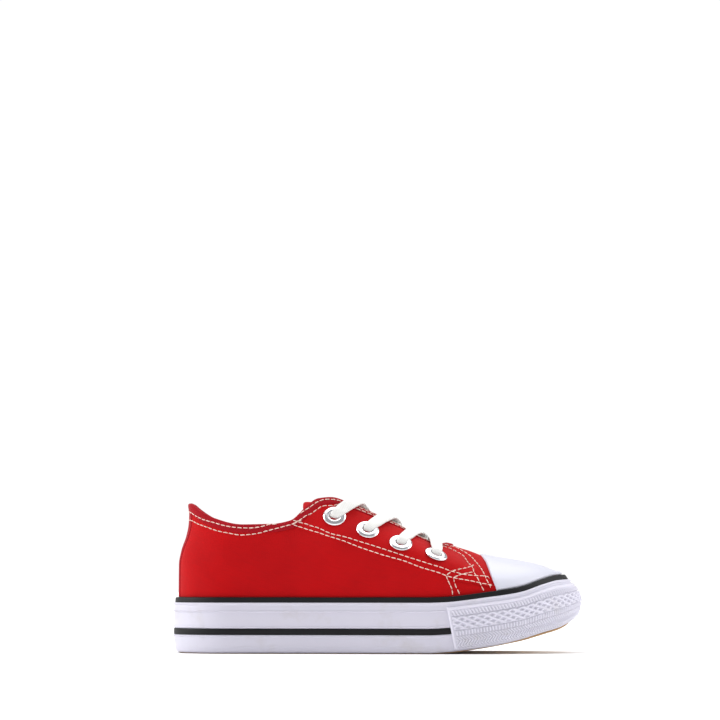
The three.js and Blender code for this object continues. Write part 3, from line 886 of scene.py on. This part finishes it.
# Edges of the panels. The eyestay's lower edge is height over x. Its front edge, the quarter's front edge
# and the toe cap's rear edge are x over height.
STAY_EDGE = [
    (54, 59.0), (58.6, 57.4), (63.8, 55.8), (71.3, 53.4), (81.3, 50.1), (88.4, 47.4), (99.4, 43.8),
    (107.2, 41.7), (115.1, 38.7), (123.7, 36.1), (130.9, 33.8), (141.3, 31.8), (152, 29.6), (175, 26),
]
FRONT_EDGE = [
    (26, 150), (30, 148.5), (33.5, 147), (38, 144.8), (42, 142.2), (45, 139.8), (46.8, 137.3),
    (48, 134.6), (49.3, 130.9), (52, 125.6),
]
QUARTER_EDGE = [
    (24, 133.5), (27.2, 133.7), (29.2, 132.9), (32.2, 131.6), (34.9, 130.9), (38, 129.3), (42, 125.6),
    (46, 118),
]
CAP_EDGE = [
    (25, 151.2), (29.2, 149.9), (35.6, 147.6), (42.2, 145.6), (44.3, 144.5), (45.6, 143.8), (52, 140),
]

# How far each piece's face stands off the upper's, in millimetres.
QUARTER_RISE = 0.3
STAY_RISE = 0.6
HEEL_STRIP = {"half": 6.0, "rise": 0.65}
BINDING_WIDTH = 3.9
BINDING_RISE = 0.42
CAP_RISE = 1.15
STITCH = {"pitch": 2.75, "length": 2.6, "width": 0.5, "height": 0.4}
# Distances of the eyestay's two rows from the top edge along the throat.
THROAT_ROWS = (1.4, 3.0)


def along_line(points):
    """Distances along a line of points from its start."""
    return np.concatenate([[0.0], np.cumsum(np.linalg.norm(np.diff(points, axis=0), axis=1))])


def through(share, v, count=200):
    """Evenly spaced places on a smooth line through places on the upper's outer side."""
    length = along_line(upper_face(turn(share, -1), v))
    steps = np.linspace(0, length[-1], count)
    return smooth_curve(length, share, steps), smooth_curve(length, v, steps)


def seen(points):
    x, z = np.array(points, float).T
    return find_from_side(x, z)


STAY_SHARES = np.linspace(0.33, 1.0, 400)
STAY_START = np.maximum(meet(STAY_SHARES, STAY_EDGE), meet(STAY_SHARES, FRONT_EDGE, True))


def quarter_front(v):
    """How far round from the heel the quarter reaches, at each place up the upper."""
    x_share = np.linspace(0.5, 0.75, 200)
    front = meet(x_share, QUARTER_EDGE, True)
    return np.interp(v, front, x_share)


def rise_at(u, v):
    """How far the cloth stands off the upper's face there, with the panels and the edge binding on it."""
    share = along(u)
    stay = v >= np.interp(share, STAY_SHARES, STAY_START, left=2.0)
    base = np.where(stay, STAY_RISE, np.where(share < quarter_front(v), QUARTER_RISE, 0.0))
    on_strip = (share < 0.3) & (np.abs(upper_face(u, v)[:, 1]) < HEEL_STRIP["half"] - 0.3)
    base = np.where(on_strip, HEEL_STRIP["rise"], base)
    edge = upper_face(np.linspace(0, 1, 900), 1.0)
    gap = np.linalg.norm(upper_face(u, v)[:, None] - edge[None], axis=-1).min(axis=1)
    bound = gap < BINDING_WIDTH - 0.1
    return np.where(bound, binding_base(share) + binding_swell(gap), base)


def binding_base(share):
    return mix(QUARTER_RISE, STAY_RISE, smooth(0.33, 0.39, share))


def binding_swell(distance):
    return BINDING_RISE * (1 - np.abs(2 * distance / BINDING_WIDTH - 1) ** 4) ** 0.5


def seams():
    """Every row of stitches as places (u, v). The collar's go round the heel, the others are in pairs."""
    rows = []
    for curve, start, last in ((COLLAR_HIGH, 66.1, 0.347), (COLLAR_LOW, 61.9, 0.388)):
        share = np.linspace(0, last, 240)
        v = np.minimum(meet(share, [(0, start)] + curve), 0.995)
        rows.append((np.concatenate([-share[:0:-1], share]) / 2, np.concatenate([v[:0:-1], v])))
    for curve in (STAY_HIGH, STAY_LOW, TIE_HIGH, TIE_LOW, VAMP_BACK, VAMP_FRONT):
        share, v = through(*seen(curve))
        rows += [(turn(share, side), v) for side in (-1, 1)]
    for lobe, distance, front in zip((LOBE_OUTER, LOBE_INNER), THROAT_ROWS, (FRONT_OUTER, FRONT_INNER)):
        start = seen(lobe)
        middle = below_edge(turn(np.linspace(0.475, 0.7, 12), -1), distance)
        end = seen(front)
        share = np.concatenate([start[0], along(middle[0]), end[0]])
        v = np.concatenate([start[1], middle[1], end[1]])
        share, v = through(share, v, 600)
        rows += [(turn(share, side), v) for side in (-1, 1)]
    return rows


def stitch_mesh(name, lines):
    """Stitches along lines of points with normals: spindles whose ends dip into the cloth, as one mesh."""
    rings, sides = 7, 8
    step = np.linspace(-1, 1, rings)
    swell = np.sqrt(1 - np.abs(step) ** 3 * 0.92)
    angle = ring_angles(sides)
    made = []
    for points, normals in lines:
        length = along_line(points)
        count = max(int(round((length[-1] - 0.4) / STITCH["pitch"])), 1)
        centre = (np.arange(count) + 0.5) * length[-1] / count
        at = centre[:, None] + step * STITCH["length"] / 2
        p = np.stack([np.interp(at, length, points[:, k]) for k in range(3)], axis=-1)
        n = unit(np.stack([np.interp(at, length, normals[:, k]) for k in range(3)], axis=-1))
        run = unit(np.gradient(p, axis=1))
        side = np.cross(n, run)
        lift = STITCH["height"] * (0.28 - 0.7 * np.abs(step) ** 2.5)
        p = p + n * lift[None, :, None]
        round_side = side[:, :, None] * (np.cos(angle) * STITCH["width"] / 2)[:, None]
        round_up = n[:, :, None] * (np.sin(angle) * STITCH["height"] / 2)[:, None]
        made.append(p[:, :, None] + (round_side + round_up) * swell[None, :, None, None])
    points = np.concatenate(made)
    faces, places = grid_faces(rings, sides, False, True)
    first = np.arange(len(points))[:, None] * rings * sides
    whole = (faces[None] + first[:, :, None]).reshape(-1, 4).tolist()
    near = (first + np.arange(sides)).tolist()
    far = (first + rings * sides - 1 - np.arange(sides)).tolist()
    c, r = np.meshgrid(np.arange(sides + 1), np.arange(rings))
    one = np.stack([r * STITCH["length"] / rings, c * 0.25], axis=-1).reshape(-1, 2)[places].reshape(-1, 2)
    uv = np.concatenate([np.tile(one, (len(points), 1)), np.zeros((2 * sides * len(points), 2))])
    return make_mesh(name, points, whole + near + far, uv)


# ---- Upper ----
# Panels end a little below the top edge, under the binding, and their backs are sunk into the canvas.
PANEL_TOP = 0.985
PANEL_SUNK = -0.1
EYELET_HOLE = 3.05


def sheet_piece(name, outer, inner, ring=False):
    """The solid between two sheets of the same rows and columns. A ring's columns close on themselves."""
    points = np.concatenate([outer, inner[::-1]])
    rows, columns = points.shape[:2]
    faces, places = grid_faces(rows, columns, True, ring)
    uv = grid_uv(points, True, ring, places)
    if not ring:
        r = np.arange(rows // 2 - 1)
        start = np.stack([r, r + 1, rows - 2 - r, rows - 1 - r], axis=-1) * columns
        end = start[:, ::-1] + columns - 1
        faces = np.concatenate([faces, start, end])
        uv = np.concatenate([uv, np.zeros((8 * len(r), 2))])
    return make_mesh(name, points, faces.tolist(), uv)


def edged(count, length, radius=0.35):
    """Steps from 0 to 1, closer at both ends, and how much of its thickness the sheet has at each."""
    near = np.array([0.0, 0.15, 0.5, 1.0]) * radius / length
    steps = np.concatenate([near, np.linspace(near[-1], 1 - near[-1], count)[1:-1], 1 - near[::-1]])
    off = np.clip(np.minimum(steps, 1 - steps) * length / radius, 0, 1)
    return steps, 0.2 + 0.8 * np.sqrt(1 - (1 - off) ** 2)


def panel(name, u, v, rise, edge_rows, edge_columns):
    """A cloth panel on the upper: rise is the height of its face, less along its rounded edges."""
    full = edge_rows[:, None] * edge_columns[None, :]
    return sheet_piece(name, off_upper(u, v, rise * full), off_upper(u, v, PANEL_SUNK))


def eyelet_places():
    share, v = find_from_side(*np.array(EYELETS).T)
    return [(turn(s, side), height) for side in (-1, 1) for s, height in zip(share, v)]


def frame_at(u, v):
    """Two directions in the upper's face and the one out of it, as rows."""
    n = upper_normal(np.array(u), np.array(v))
    side = unit(np.cross(n, [0.0, 0.0, 1.0]))
    return np.stack([side, np.cross(n, side), n])


def lathe(profile, parts):
    """Points of a turned ring: rows of the closed profile, columns round it."""
    r, h = np.array(profile, float).T[..., None]
    angle = ring_angles(parts)
    return np.stack(np.broadcast_arrays(r * np.cos(angle), r * np.sin(angle), h), axis=-1)


def turned_piece(name, points, place):
    """A turned ring with its axis square to the upper at a place (u, v)."""
    return grid_piece(name, points @ frame_at(*place) + upper_face(*place), True, True)


def pierce(piece, places):
    """Cuts the eyelets' holes through a piece."""
    drill = lathe([(0.001, -6), (EYELET_HOLE, -6), (EYELET_HOLE, 4), (0.001, 4)], 40)
    for number, place in enumerate(places):
        cutter = turned_piece("drill", drill, place)
        cut = piece.modifiers.new(f"hole_{number}", "BOOLEAN")
        cut.operation = "DIFFERENCE"
        cut.solver = "MANIFOLD"
        cut.object = cutter
    whole = bpy.data.meshes.new_from_object(piece.evaluated_get(bpy.context.evaluated_depsgraph_get()))
    for cut in list(piece.modifiers):
        cutter = cut.object
        piece.modifiers.remove(cut)
        bpy.data.objects.remove(cutter)
    piece.data = whole
    whole.materials.clear()
    whole.polygons.foreach_set("material_index", np.zeros(len(whole.polygons), np.int32))


def build_shells(red, lining, places):
    """The upper's two skins, from the insole to the top edge all the way round."""
    rows = np.concatenate([np.linspace(0.01, HIDDEN_SHARE, 9)[:-1], np.linspace(HIDDEN_SHARE, 1, 56)])
    u, v = np.meshgrid(ring_turns(320), rows)
    for name, material, slot, high, low in (
        ("upper_canvas", red, "red_canvas", 0.0, -0.8),
        ("upper_lining", lining, "lining", -0.82, -CANVAS),
    ):
        piece = sheet_piece(name, off_upper(u, v, high), off_upper(u, v, low), True)
        pierce(piece, places)
        finish_piece(piece, material, slot, "upper")


def build_quarter(red):
    """The quarter: one panel round the heel, from its front edge on one side to that on the other."""
    rows, edge_rows = edged(62, 45)
    v = mix(HIDDEN_SHARE, PANEL_TOP, rows)
    columns, edge_columns = edged(270, 300)
    front = quarter_front(v)
    u = (2 * columns[None, :] - 1) * front[:, None] / 2
    piece = panel("quarter_panel", u, v[:, None], QUARTER_RISE, edge_rows, edge_columns)
    finish_piece(piece, red, "red_canvas", "upper")


def build_stay(red, places):
    """The eyestay: one panel round the throat, from one side of the collar over the front to the other."""
    rows, edge_rows = edged(34, 18)
    share = np.linspace(0.375, 1.0, 170)
    share = np.concatenate([share, 2 - share[-2::-1]])
    low = np.interp(along(share / 2), STAY_SHARES, STAY_START)
    v = mix(low[None, :], PANEL_TOP, rows[:, None])
    edge_columns = edged(len(share) - 6, 300)[1]
    piece = panel("eyestay_panel", share[None, :] / 2, v, STAY_RISE, edge_rows, edge_columns)
    pierce(piece, places)
    finish_piece(piece, red, "red_canvas", "upper")


# The binding's section: shares of its width down the outside, heights off the face and above the edge over
# the edge, then shares of its width and heights off the face down the lining and back to the canvas.
BINDING_OUTSIDE = [1.0, 0.985, 0.93, 0.8, 0.6, 0.4, 0.2, 0.08, 0.02]
BINDING_OVER = [
    (0.75, 0.05), (0.5, 0.16), (0.1, 0.25), (-0.55, 0.28), (-1.1, 0.24), (-1.5, 0.12), (-1.75, -0.05),
]
BINDING_INSIDE = [(0.2, -1.85), (0.5, -1.85), (0.9, -1.8), (0.99, -1.7), (1.0, -CANVAS - 0.05), (1.0, -0.3)]


def build_binding(red):
    """Tape folded over the upper's top edge: down the outside, over the edge and down the lining."""
    u = ring_turns(420)
    base = binding_base(along(u))
    profile = []
    for share in BINDING_OUTSIDE:
        distance = share * BINDING_WIDTH
        profile.append(off_upper(*below_edge(u, distance), base + binding_swell(distance) + 0.02))
    edge = np.ones(u.shape)
    run = unit(upper_face(u + TINY, edge) - upper_face(u - TINY, edge))
    n = upper_normal(u, edge)
    up = unit(np.cross(n, run))
    for height, lift in BINDING_OVER:
        outside = np.where(height > 0, base / STAY_RISE, 1.0)
        profile.append(upper_face(u, edge) + n * (height * outside)[:, None] + up * lift)
    for share, height in BINDING_INSIDE:
        profile.append(off_upper(*below_edge(u, share * BINDING_WIDTH), height))
    # The red passed in here is the darker copy: painted shade on the folded edge.
    finish_piece(grid_piece("edge_binding", np.array(profile), True, True), red, "red_canvas", "upper")


def build_heel_strip(red):
    """A tape down the middle of the heel, the same width all the way."""
    rows, edge_rows = edged(60, 40)
    v = mix(HIDDEN_SHARE, 0.99, rows)
    spread = np.linspace(0, 0.2, 120)
    half = []
    for height in v:
        line = upper_face(spread / 2, np.full(spread.shape, height))
        half.append(np.interp(HEEL_STRIP["half"], along_line(line), spread))
    columns, edge_columns = edged(24, 12)
    u = (2 * columns[None, :] - 1) * np.array(half)[:, None] / 2
    piece = panel("heel_strip", u, v[:, None], HEEL_STRIP["rise"], edge_rows, edge_columns)
    # The red passed in here is the darker copy: painted shade along the strip's edges.
    finish_piece(piece, red, "red_canvas", "upper")


def build_cap(white):
    """The toe cap: a sheet over the toe box from its rear edge to the wall, thicker away from its edges."""
    rows, edge_rows = edged(40, 30, 1.1)
    share = np.linspace(0.6, 1.0, 500)
    reach = meet(share, CAP_EDGE, True)
    first = share[np.argmax(reach > HIDDEN_SHARE + 0.012)]
    share = np.linspace(first, 1.0, 110)
    reach = meet(share, CAP_EDGE, True)
    share = np.concatenate([share, 2 - share[-2::-1]])
    reach = np.concatenate([reach, reach[-2::-1]])
    v = mix(HIDDEN_SHARE + 0.002, reach[None, :], rows[:, None])
    edge_columns = edged(len(share) - 6, 130, 0.6)[1]
    rise = CAP_RISE * mix(0.4, 1.0, smooth(0.0, 0.12, rows))[:, None]
    piece = panel("toe_cap_rubber", share[None, :] / 2, v, rise, edge_rows, edge_columns)
    finish_piece(piece, white, "white_rubber", "toe_cap")


def build_stitches(thread):
    lines = [(off_upper(u, v, rise_at(u, v)), upper_normal(u, v)) for u, v in seams()]
    finish_piece(stitch_mesh("stitches", lines), thread, "lace", "upper")


# Distances from the eyelet's axis and heights off the upper, round its barrel and its rolled rim.
EYELET_PROFILE = [
    (2.3, -2.1), (2.3, 0.7), (2.42, 1.12), (2.8, 1.42), (3.4, 1.5), (4.2, 1.42), (4.85, 1.2),
    (5.25, 0.92), (5.35, 0.68), (5.25, 0.52), (3.0, 0.5), (2.9, 0.3), (2.9, -1.9), (3.3, -2.2),
    (2.7, -2.4),
]


def build_eyelets(metal, places):
    ring = lathe(round_profile(EYELET_PROFILE, 0.12, 2), 56)
    for number, place in enumerate(places):
        side = "outer" if number < len(EYELETS) else "inner"
        name = f"eyelet_{side}_{number % len(EYELETS) + 1}"
        finish_piece(turned_piece(f"{name}_ring", ring, place), metal, "eyelet_metal", name)


# ---- Tongue ----
TONGUE_ENDS = (60.6, 133.8)
TONGUE_THICKNESS = 1.6


def tongue_face(x, t):
    """The tongue's face, flat along its middle and falling away beside it. t is -1 and 1 at its edges."""
    half, flat = TONGUE("half", x), TONGUE("flat", x)
    beyond = np.clip((np.abs(t) * half - flat) / (half - flat), 0, None)
    return np.stack([x, t * half, TONGUE("z", x) - TONGUE("fall", x) * beyond ** 1.5], axis=-1)


def build_tongue(red):
    """The tongue's face and underside, rounded along the edges and with a shallow dent along its middle."""
    rows, edge_rows = edged(90, 75, 0.8)
    columns, edge_columns = edged(50, 27, 0.8)
    t, x = np.meshgrid(2 * columns - 1, mix(*TONGUE_ENDS, rows))
    face = tongue_face(x, t)
    up = np.array([0.0, 0.0, 1.0])
    half = edge_rows[:, None] * edge_columns[None, :] * TONGUE_THICKNESS / 2
    middle = face - up * 0.9
    dent = 0.25 * np.exp(-(face[..., 1] / 5.0) ** 2)
    outer = middle + up * (half - dent)[..., None]
    inner = middle - up * half[..., None]
    finish_piece(sheet_piece("tongue_cloth", outer, inner), red, "red_canvas", "tongue")


# ---- Lace ----
# Where along the throat each strand passes over its own edge, and under the edge across from it.
LACE_OVER = [84.0, 99.4, 112.0, 121.6]
LACE_UNDER = [91.5, 107.0, 119.5]
# The lace's width and thickness: flat where it lies free, and folded together in an eyelet.
LACE_FLAT = (6.4, 1.1)
LACE_SLACK = (6.2, 1.1)
LACE_NEARLY = (5.8, 1.3)
LACE_GATHERED = (5.6, 1.3)
LACE_COMING_OUT = (4.4, 1.9)
LACE_FOLDED = (4.3, 1.9)
LACE_END = (4.2, 1.6)
# How far a strand hangs at its middle, by the side that it starts on.
LACE_SAG = {-1: 1.3, 1: 2.5}


def edge_share(x):
    share = np.linspace(0.4, 1.0, 600)
    return float(np.interp(x, TOPLINE("x", share), share))


def lace_way(places):
    """The lace's guide points with its width and thickness at each, from one top eyelet to the other.

    Out of an eyelet it goes over the throat's near edge, crosses the tongue, dives under the far edge
    beside the next eyelet and comes out of that. A straight bar joins the front pair.
    """
    last = len(EYELETS) - 1

    def spot(side, i):
        u, v = places[i if side < 0 else i + len(EYELETS)]
        return float(along(np.array(u))), v

    def on(side, share, v, height):
        u = np.array([turn(share, side)])
        return off_upper(u, np.array([v]), np.array([height]))[0]

    def out_of(side, i, crossing):
        share, v = spot(side, i)
        inside, outside = on(side, share, v, -1.6), on(side, share, v, 1.3)
        edge = on(side, crossing, 1.0, 2.4)
        over_rim = mix(outside, edge, 0.42) + unit(outside - inside) * 1.1
        leaving = mix(outside, over_rim, 0.06)
        return [
            (inside, *LACE_FOLDED), (leaving, *LACE_COMING_OUT),
            (over_rim, *LACE_NEARLY), (edge, *LACE_FLAT),
        ]

    def under(side, i, crossing):
        share, v = spot(side, i)
        edge, inside = on(side, crossing, 1.0, -3.0), on(side, share, v, -1.6)
        between = mix(edge, inside, 0.5) + unit(inside - on(side, share, v, 0.0)) * 0.9
        return [(edge, *LACE_SLACK), (between, *LACE_GATHERED)]

    def strand(i, side):
        over = edge_share(LACE_OVER[i])
        start = out_of(side, i, over)
        end = under(-side, i + 1, edge_share(LACE_UNDER[i]))
        middle = (start[-1][0] + end[0][0]) / 2
        middle[2] = (on(side, over, 1.0, 2.5)[2] + on(-side, over, 1.0, 2.5)[2]) / 2 - LACE_SAG[side]
        return start + [(middle, *LACE_FLAT)] + end

    share = edge_share(LACE_OVER[last])
    side_a, side_b = out_of(1, last, share), out_of(-1, last, share)
    centre = (side_a[-1][0] + side_b[-1][0]) / 2 - np.array([0, 0, 0.9])
    bar = side_a + [(centre, *LACE_FLAT)] + side_b[::-1]
    head, tail = [[(on(side, *spot(side, 0), -3.2), *LACE_END)] for side in (-1, 1)]
    there = strand(0, -1) + strand(1, 1) + strand(2, -1)
    back = strand(0, 1) + strand(1, -1) + strand(2, 1)
    return head + there + bar + (tail + back)[::-1]


LACE_WIDE_WAY = np.array([1.0, 0.0, -0.36])


def sweep(name, guide, spacing=0.45, parts=20):
    """A flat ribbon along a smooth curve through guide points: in section a box with well rounded edges.

    Its width keeps to one direction along the shoe, as far as its run lets it.
    """
    points = np.array([g[0] for g in guide])
    sizes = np.array([g[1:] for g in guide])
    length = along_line(points)
    slope = np.gradient(points, length, axis=0)
    at = np.linspace(0, length[-1], int(length[-1] / spacing))
    i = np.clip(np.searchsorted(length, at, side="right") - 1, 0, len(points) - 2)
    step = (length[i + 1] - length[i])[:, None]
    k = (at - length[i])[:, None] / step
    p = (points[i] * (1 + 2 * k) * (1 - k) ** 2 + points[i + 1] * (3 - 2 * k) * k ** 2
         + slope[i] * step * k * (1 - k) ** 2 - slope[i + 1] * step * (1 - k) * k ** 2)
    ease = k * k * (3 - 2 * k)
    size = sizes[i] * (1 - ease) + sizes[i + 1] * ease
    run = unit(np.gradient(p, axis=0))
    forward = unit(LACE_WIDE_WAY)
    wide = unit(forward - (run @ forward)[:, None] * run)
    up = np.cross(run, wide)
    c, s = np.cos(ring_angles(parts)), np.sin(ring_angles(parts))
    flat = np.sign(c) * np.abs(c) ** 0.45
    thick = np.sign(s) * np.abs(s) ** 0.7
    grid = (p[:, None] + wide[:, None] * (size[:, :1] / 2 * flat)[..., None]
            + up[:, None] * (size[:, 1:] / 2 * thick)[..., None])
    return grid_piece(name, grid, False, True, caps=True)


def build_lace(cotton, places):
    nodes = [f"lace_cross_{n}" for n in (1, 2, 3)] + ["lace_bar"]
    finish_piece(sweep("lace_cord", lace_way(places)), cotton, "lace", *nodes)


# ---- Bumper, outsole and insole ----
# The bumper's lower and upper edge as shares of the wall's height, where along the shoe each starts, and the
# thickness inside its edges, at its edges, and added at the tip.
BUMPER = {
    "low": 0.045, "high": 0.815, "low_x": 130.5, "high_x": 126.8,
    "proud": 1.2, "thin": 0.25, "tip": 1.0,
}


# Bands of the relief by their distance in millimetres from the top edge, and the fullness of a rib.
RELIEF_BANDS = {"slanted": (1.9, 4.2), "lattice": (4.8, 10.8), "upright": (11.3, 13.5)}
HERRING_TOP = 13.9
HERRING_ROW = 2.1
RIB = 0.55


def ridges(t, sharp=1.0):
    """Rounded ridges of height 1, one for each whole step of t."""
    return (0.5 + 0.5 * np.cos(2 * np.pi * t)) ** sharp


def zone(t, start, end, soft=0.25):
    """One between start and end, and zero beyond them."""
    return smooth(start - soft, start + soft, t) * (1 - smooth(end - soft, end + soft, t))


def bumper_relief(a, b, down):
    """Relief in millimetres, at distances a from the rear edge, b from the middle and down from the top.

    Under a bead come slanted ridges, a lattice of crossing ridges, upright ribs and rows of herringbone.
    The second result is 0 in the bottom of a groove and 1 on top of a ridge, and sets how much painted shade
    the grooves get.
    """
    height = (BUMPER["high"] - BUMPER["low"]) * WALL_HEIGHT
    slanted = ridges((b - 0.4 * down) / 1.5, RIB) * zone(down, *RELIEF_BANDS["slanted"]) * 0.75
    rise = down - 4.7
    lattice = np.maximum(0.7 * ridges((b + 1.7 * rise) / 4.6, 1.4), ridges((b - 1.7 * rise) / 4.6, 1.4))
    lattice = lattice * zone(down, *RELIEF_BANDS["lattice"]) * 1.05
    upright = ridges(b / 1.4, RIB) * zone(down, *RELIEF_BANDS["upright"]) * 0.65
    row = (down - HERRING_TOP) / HERRING_ROW
    bent = np.abs(row - 2 * np.floor(row / 2) - 1) * HERRING_ROW
    herring = ridges((b + 0.9 * bent) / 1.4, RIB) * zone(down, HERRING_TOP, height - 0.6) * 0.65
    inside = smooth(1.3, 1.8, a)
    bead = np.maximum(bump(down, 0.85, 0.85), bump(a, 0.75, 0.8)) * 0.5
    ribbed = (slanted + lattice + upright + herring) * inside
    plain = bump(down, 0.9, 2.2) + bump(a, 0.75, 1.6)
    return ribbed + bead - 0.25, np.clip(ribbed / 0.6 + bead * 2 + plain, 0, 1)


def build_bumper(white):
    """The toe bumper: a strip of the wall with a moulded relief, thin at its edges, and a plain back."""
    rows, edge_rows = edged(88, 20, 0.5)
    f = mix(BUMPER["low"], BUMPER["high"], rows)
    share = share_at(mix(BUMPER["low_x"], BUMPER["high_x"], rows))
    columns, edge_columns = edged(740, 170, 0.5)
    u = mix(share[:, None], 2 - share[:, None], columns[None, :]) / 2
    f = np.repeat(f[:, None], len(columns), 1)
    line = wall(u[len(u) // 2], f[len(u) // 2], 0.0)
    length = along_line(line)
    rear = np.minimum(length, length[-1] - length)
    down = (BUMPER["high"] - f) * WALL_HEIGHT
    relief, ridge = bumper_relief(rear[None, :], (length - length[-1] / 2)[None, :], down)
    full = edge_rows[:, None] * edge_columns[None, :]
    tip = BUMPER["tip"] * smooth(0.62, 1.0, along(u)) * bump(rows, 0.5, 0.6)[:, None]
    outer = wall(u, f, -(mix(BUMPER["thin"], BUMPER["proud"], full) + relief * (full > 0.9) + tip))
    back = wall(u, f, 0.0)[::-31]
    sections = np.concatenate([outer, back]).transpose(1, 0, 2)
    piece = grid_piece("toe_bumper_rubber", sections, False, True, caps=True)
    # How much painted groove shade each point gets: full at a groove's bottom, none on ridges, beads, plain
    # parts and the back.
    ridge = np.concatenate([np.where(full > 0.9, ridge, 1.0), np.ones(back.shape[:2])]).T
    layer = piece.data.attributes.new("relief", "FLOAT", "POINT")
    layer.data.foreach_set("value", ridge.ravel().astype(np.float32))
    finish_piece(piece, white, "white_rubber", "toe_bumper")


# The grooves' depth and width, how far a V leads at the middle and the plain border, then each V's place.
TREAD = {"depth": 1.1, "width": 1.9, "lead": 4.0, "border": 6.0}
TREAD_ROWS = [16, 24, 32, 40, 92, 100, 108, 116, 124, 132, 140, 148]


def across_sole(share, f, depth, t):
    """Straight lines from the outer wall to the inner one: t is -1 at the outer and 1 at the inner."""
    a = wall(turn(share, -1), f, depth)[:, None]
    b = wall(turn(share, 1), f, depth)[:, None]
    return mix(a, b, (t[None, :, None] + 1) / 2)


def build_outsole(tan):
    """The outsole: V-shaped grooves inside a border underneath, an edge under the wall, and a top."""
    share = np.linspace(0.0005, 0.9995, 460)
    across = np.linspace(-1, 1, 61)

    def level(f, depth, t):
        return across_sole(share, f, depth, t)

    bottom = level(0.0, 1.3, across)
    border = TREAD["border"] / np.maximum(np.abs(bottom[:, -1, 1] - bottom[:, 0, 1]) / 2, 1)[:, None]
    inside = 1 - smooth(1 - border, 1 - border + 0.03, np.abs(across)[None, :])
    lead = bottom[..., 0] - TREAD["lead"] * (1 - np.abs(across) / (1 - border))
    groove = np.zeros(bottom.shape[:2])
    for x in TREAD_ROWS:
        groove = np.maximum(groove, 1 - smooth(0.75, 1.1, np.abs(lead - x) * 2 / TREAD["width"]))
    grain = 0.12 * ridges(bottom[..., 0] / 1.6) * ridges(bottom[..., 1] / 1.6)
    bottom[..., 2] += TREAD["depth"] * groove * inside + grain * (1 - groove) * inside
    behind = FOXING_BOTTOM + GAP
    lip = OUTSOLE_EDGE
    edge = ((0.004, 1.0), (lip * 0.5, 0.8), (lip, 0.9), (lip + SLIT * 0.2, behind))
    rim = [level(f, depth, np.array([-1.0, 1.0])) for f, depth in edge]
    top = level(OUTSOLE_TOP, behind, -across[::4])
    ring = [bottom, *(pair[:, 1:] for pair in rim), top, *(pair[:, :1] for pair in rim[::-1])]
    piece = grid_piece("outsole_rubber", np.concatenate(ring, axis=1), False, True, caps=True)
    finish_piece(piece, tan, "tan_rubber", "outsole")


def build_insole(cloth):
    """The insole: a bed inside the wall, whose face rises towards its rim."""
    share = np.linspace(0.004, 0.996, 160)
    t = np.sin(np.linspace(-1, 1, 40) * np.pi / 2)

    def level(f):
        return across_sole(share, f, foxing_depth(f) + CANVAS + 2 * GAP, t)

    bottom = level(OUTSOLE_TOP + SLIT)
    top = level(OUTSOLE_TOP + SLIT + INSOLE_SHARE)
    top[..., 2] += 0.8 * np.abs(t) ** 6 - 0.5
    finish_piece(sheet_piece("insole_bed", top, bottom), cloth, "lining", "insole")


# ---- Run ----
build_stage()
build_camera()
red = canvas_finish("red_canvas", rgb(181, 6, 11), rgb(161, 4, 9), rgb(192, 22, 27))
# A darker copy of the red canvas for the edge binding and the heel strip: its darker tone is painted shade
# on their rounded edges, not a darker tape.
shade_painted_red = canvas_finish("red_tape_painted_shade", rgb(158, 13, 26), rgb(136, 9, 19), rgb(178, 36, 48), 0.44)
lining = canvas_finish("lining", rgb(226, 220, 206), rgb(208, 200, 184), rgb(240, 236, 226))
thread = cord_finish("thread", rgb(252, 222, 208), 0.3)
cotton = cord_finish("lace_cotton", rgb(236, 236, 233), 0.95)
white = rubber_finish("white_rubber", rgb(203, 201, 214), rgb(176, 170, 163))
cap = rubber_finish("cap_rubber", rgb(204, 205, 217), rgb(190, 185, 178), 0.36, 0.00002)
# The bumper's white is a lighter copy of the foxing's same white rubber: painted light that makes up for the
# painted shade in its grooves.
bumper = rubber_finish("bumper_rubber", rgb(214, 212, 225), rgb(180, 174, 167), grooves=0.32)
black = rubber_finish("black_rubber", rgb(8, 8, 11), rgb(30, 29, 30), 0.5, specular=0.25)
tan = rubber_finish("tan_rubber", rgb(176, 138, 92), rgb(110, 92, 70), 0.55)
metal = metal_finish("eyelet_metal", rgb(232, 233, 236))

places = eyelet_places()
build_foxing(white)
build_stripes(black)
build_bumper(bumper)
build_outsole(tan)
build_insole(lining)
build_shells(red, lining, places)
build_quarter(red)
build_stay(red, places)
build_heel_strip(shade_painted_red)
build_binding(shade_painted_red)
build_cap(cap)
build_stitches(thread)
build_eyelets(metal, places)
build_tongue(red)
build_lace(cotton, places)
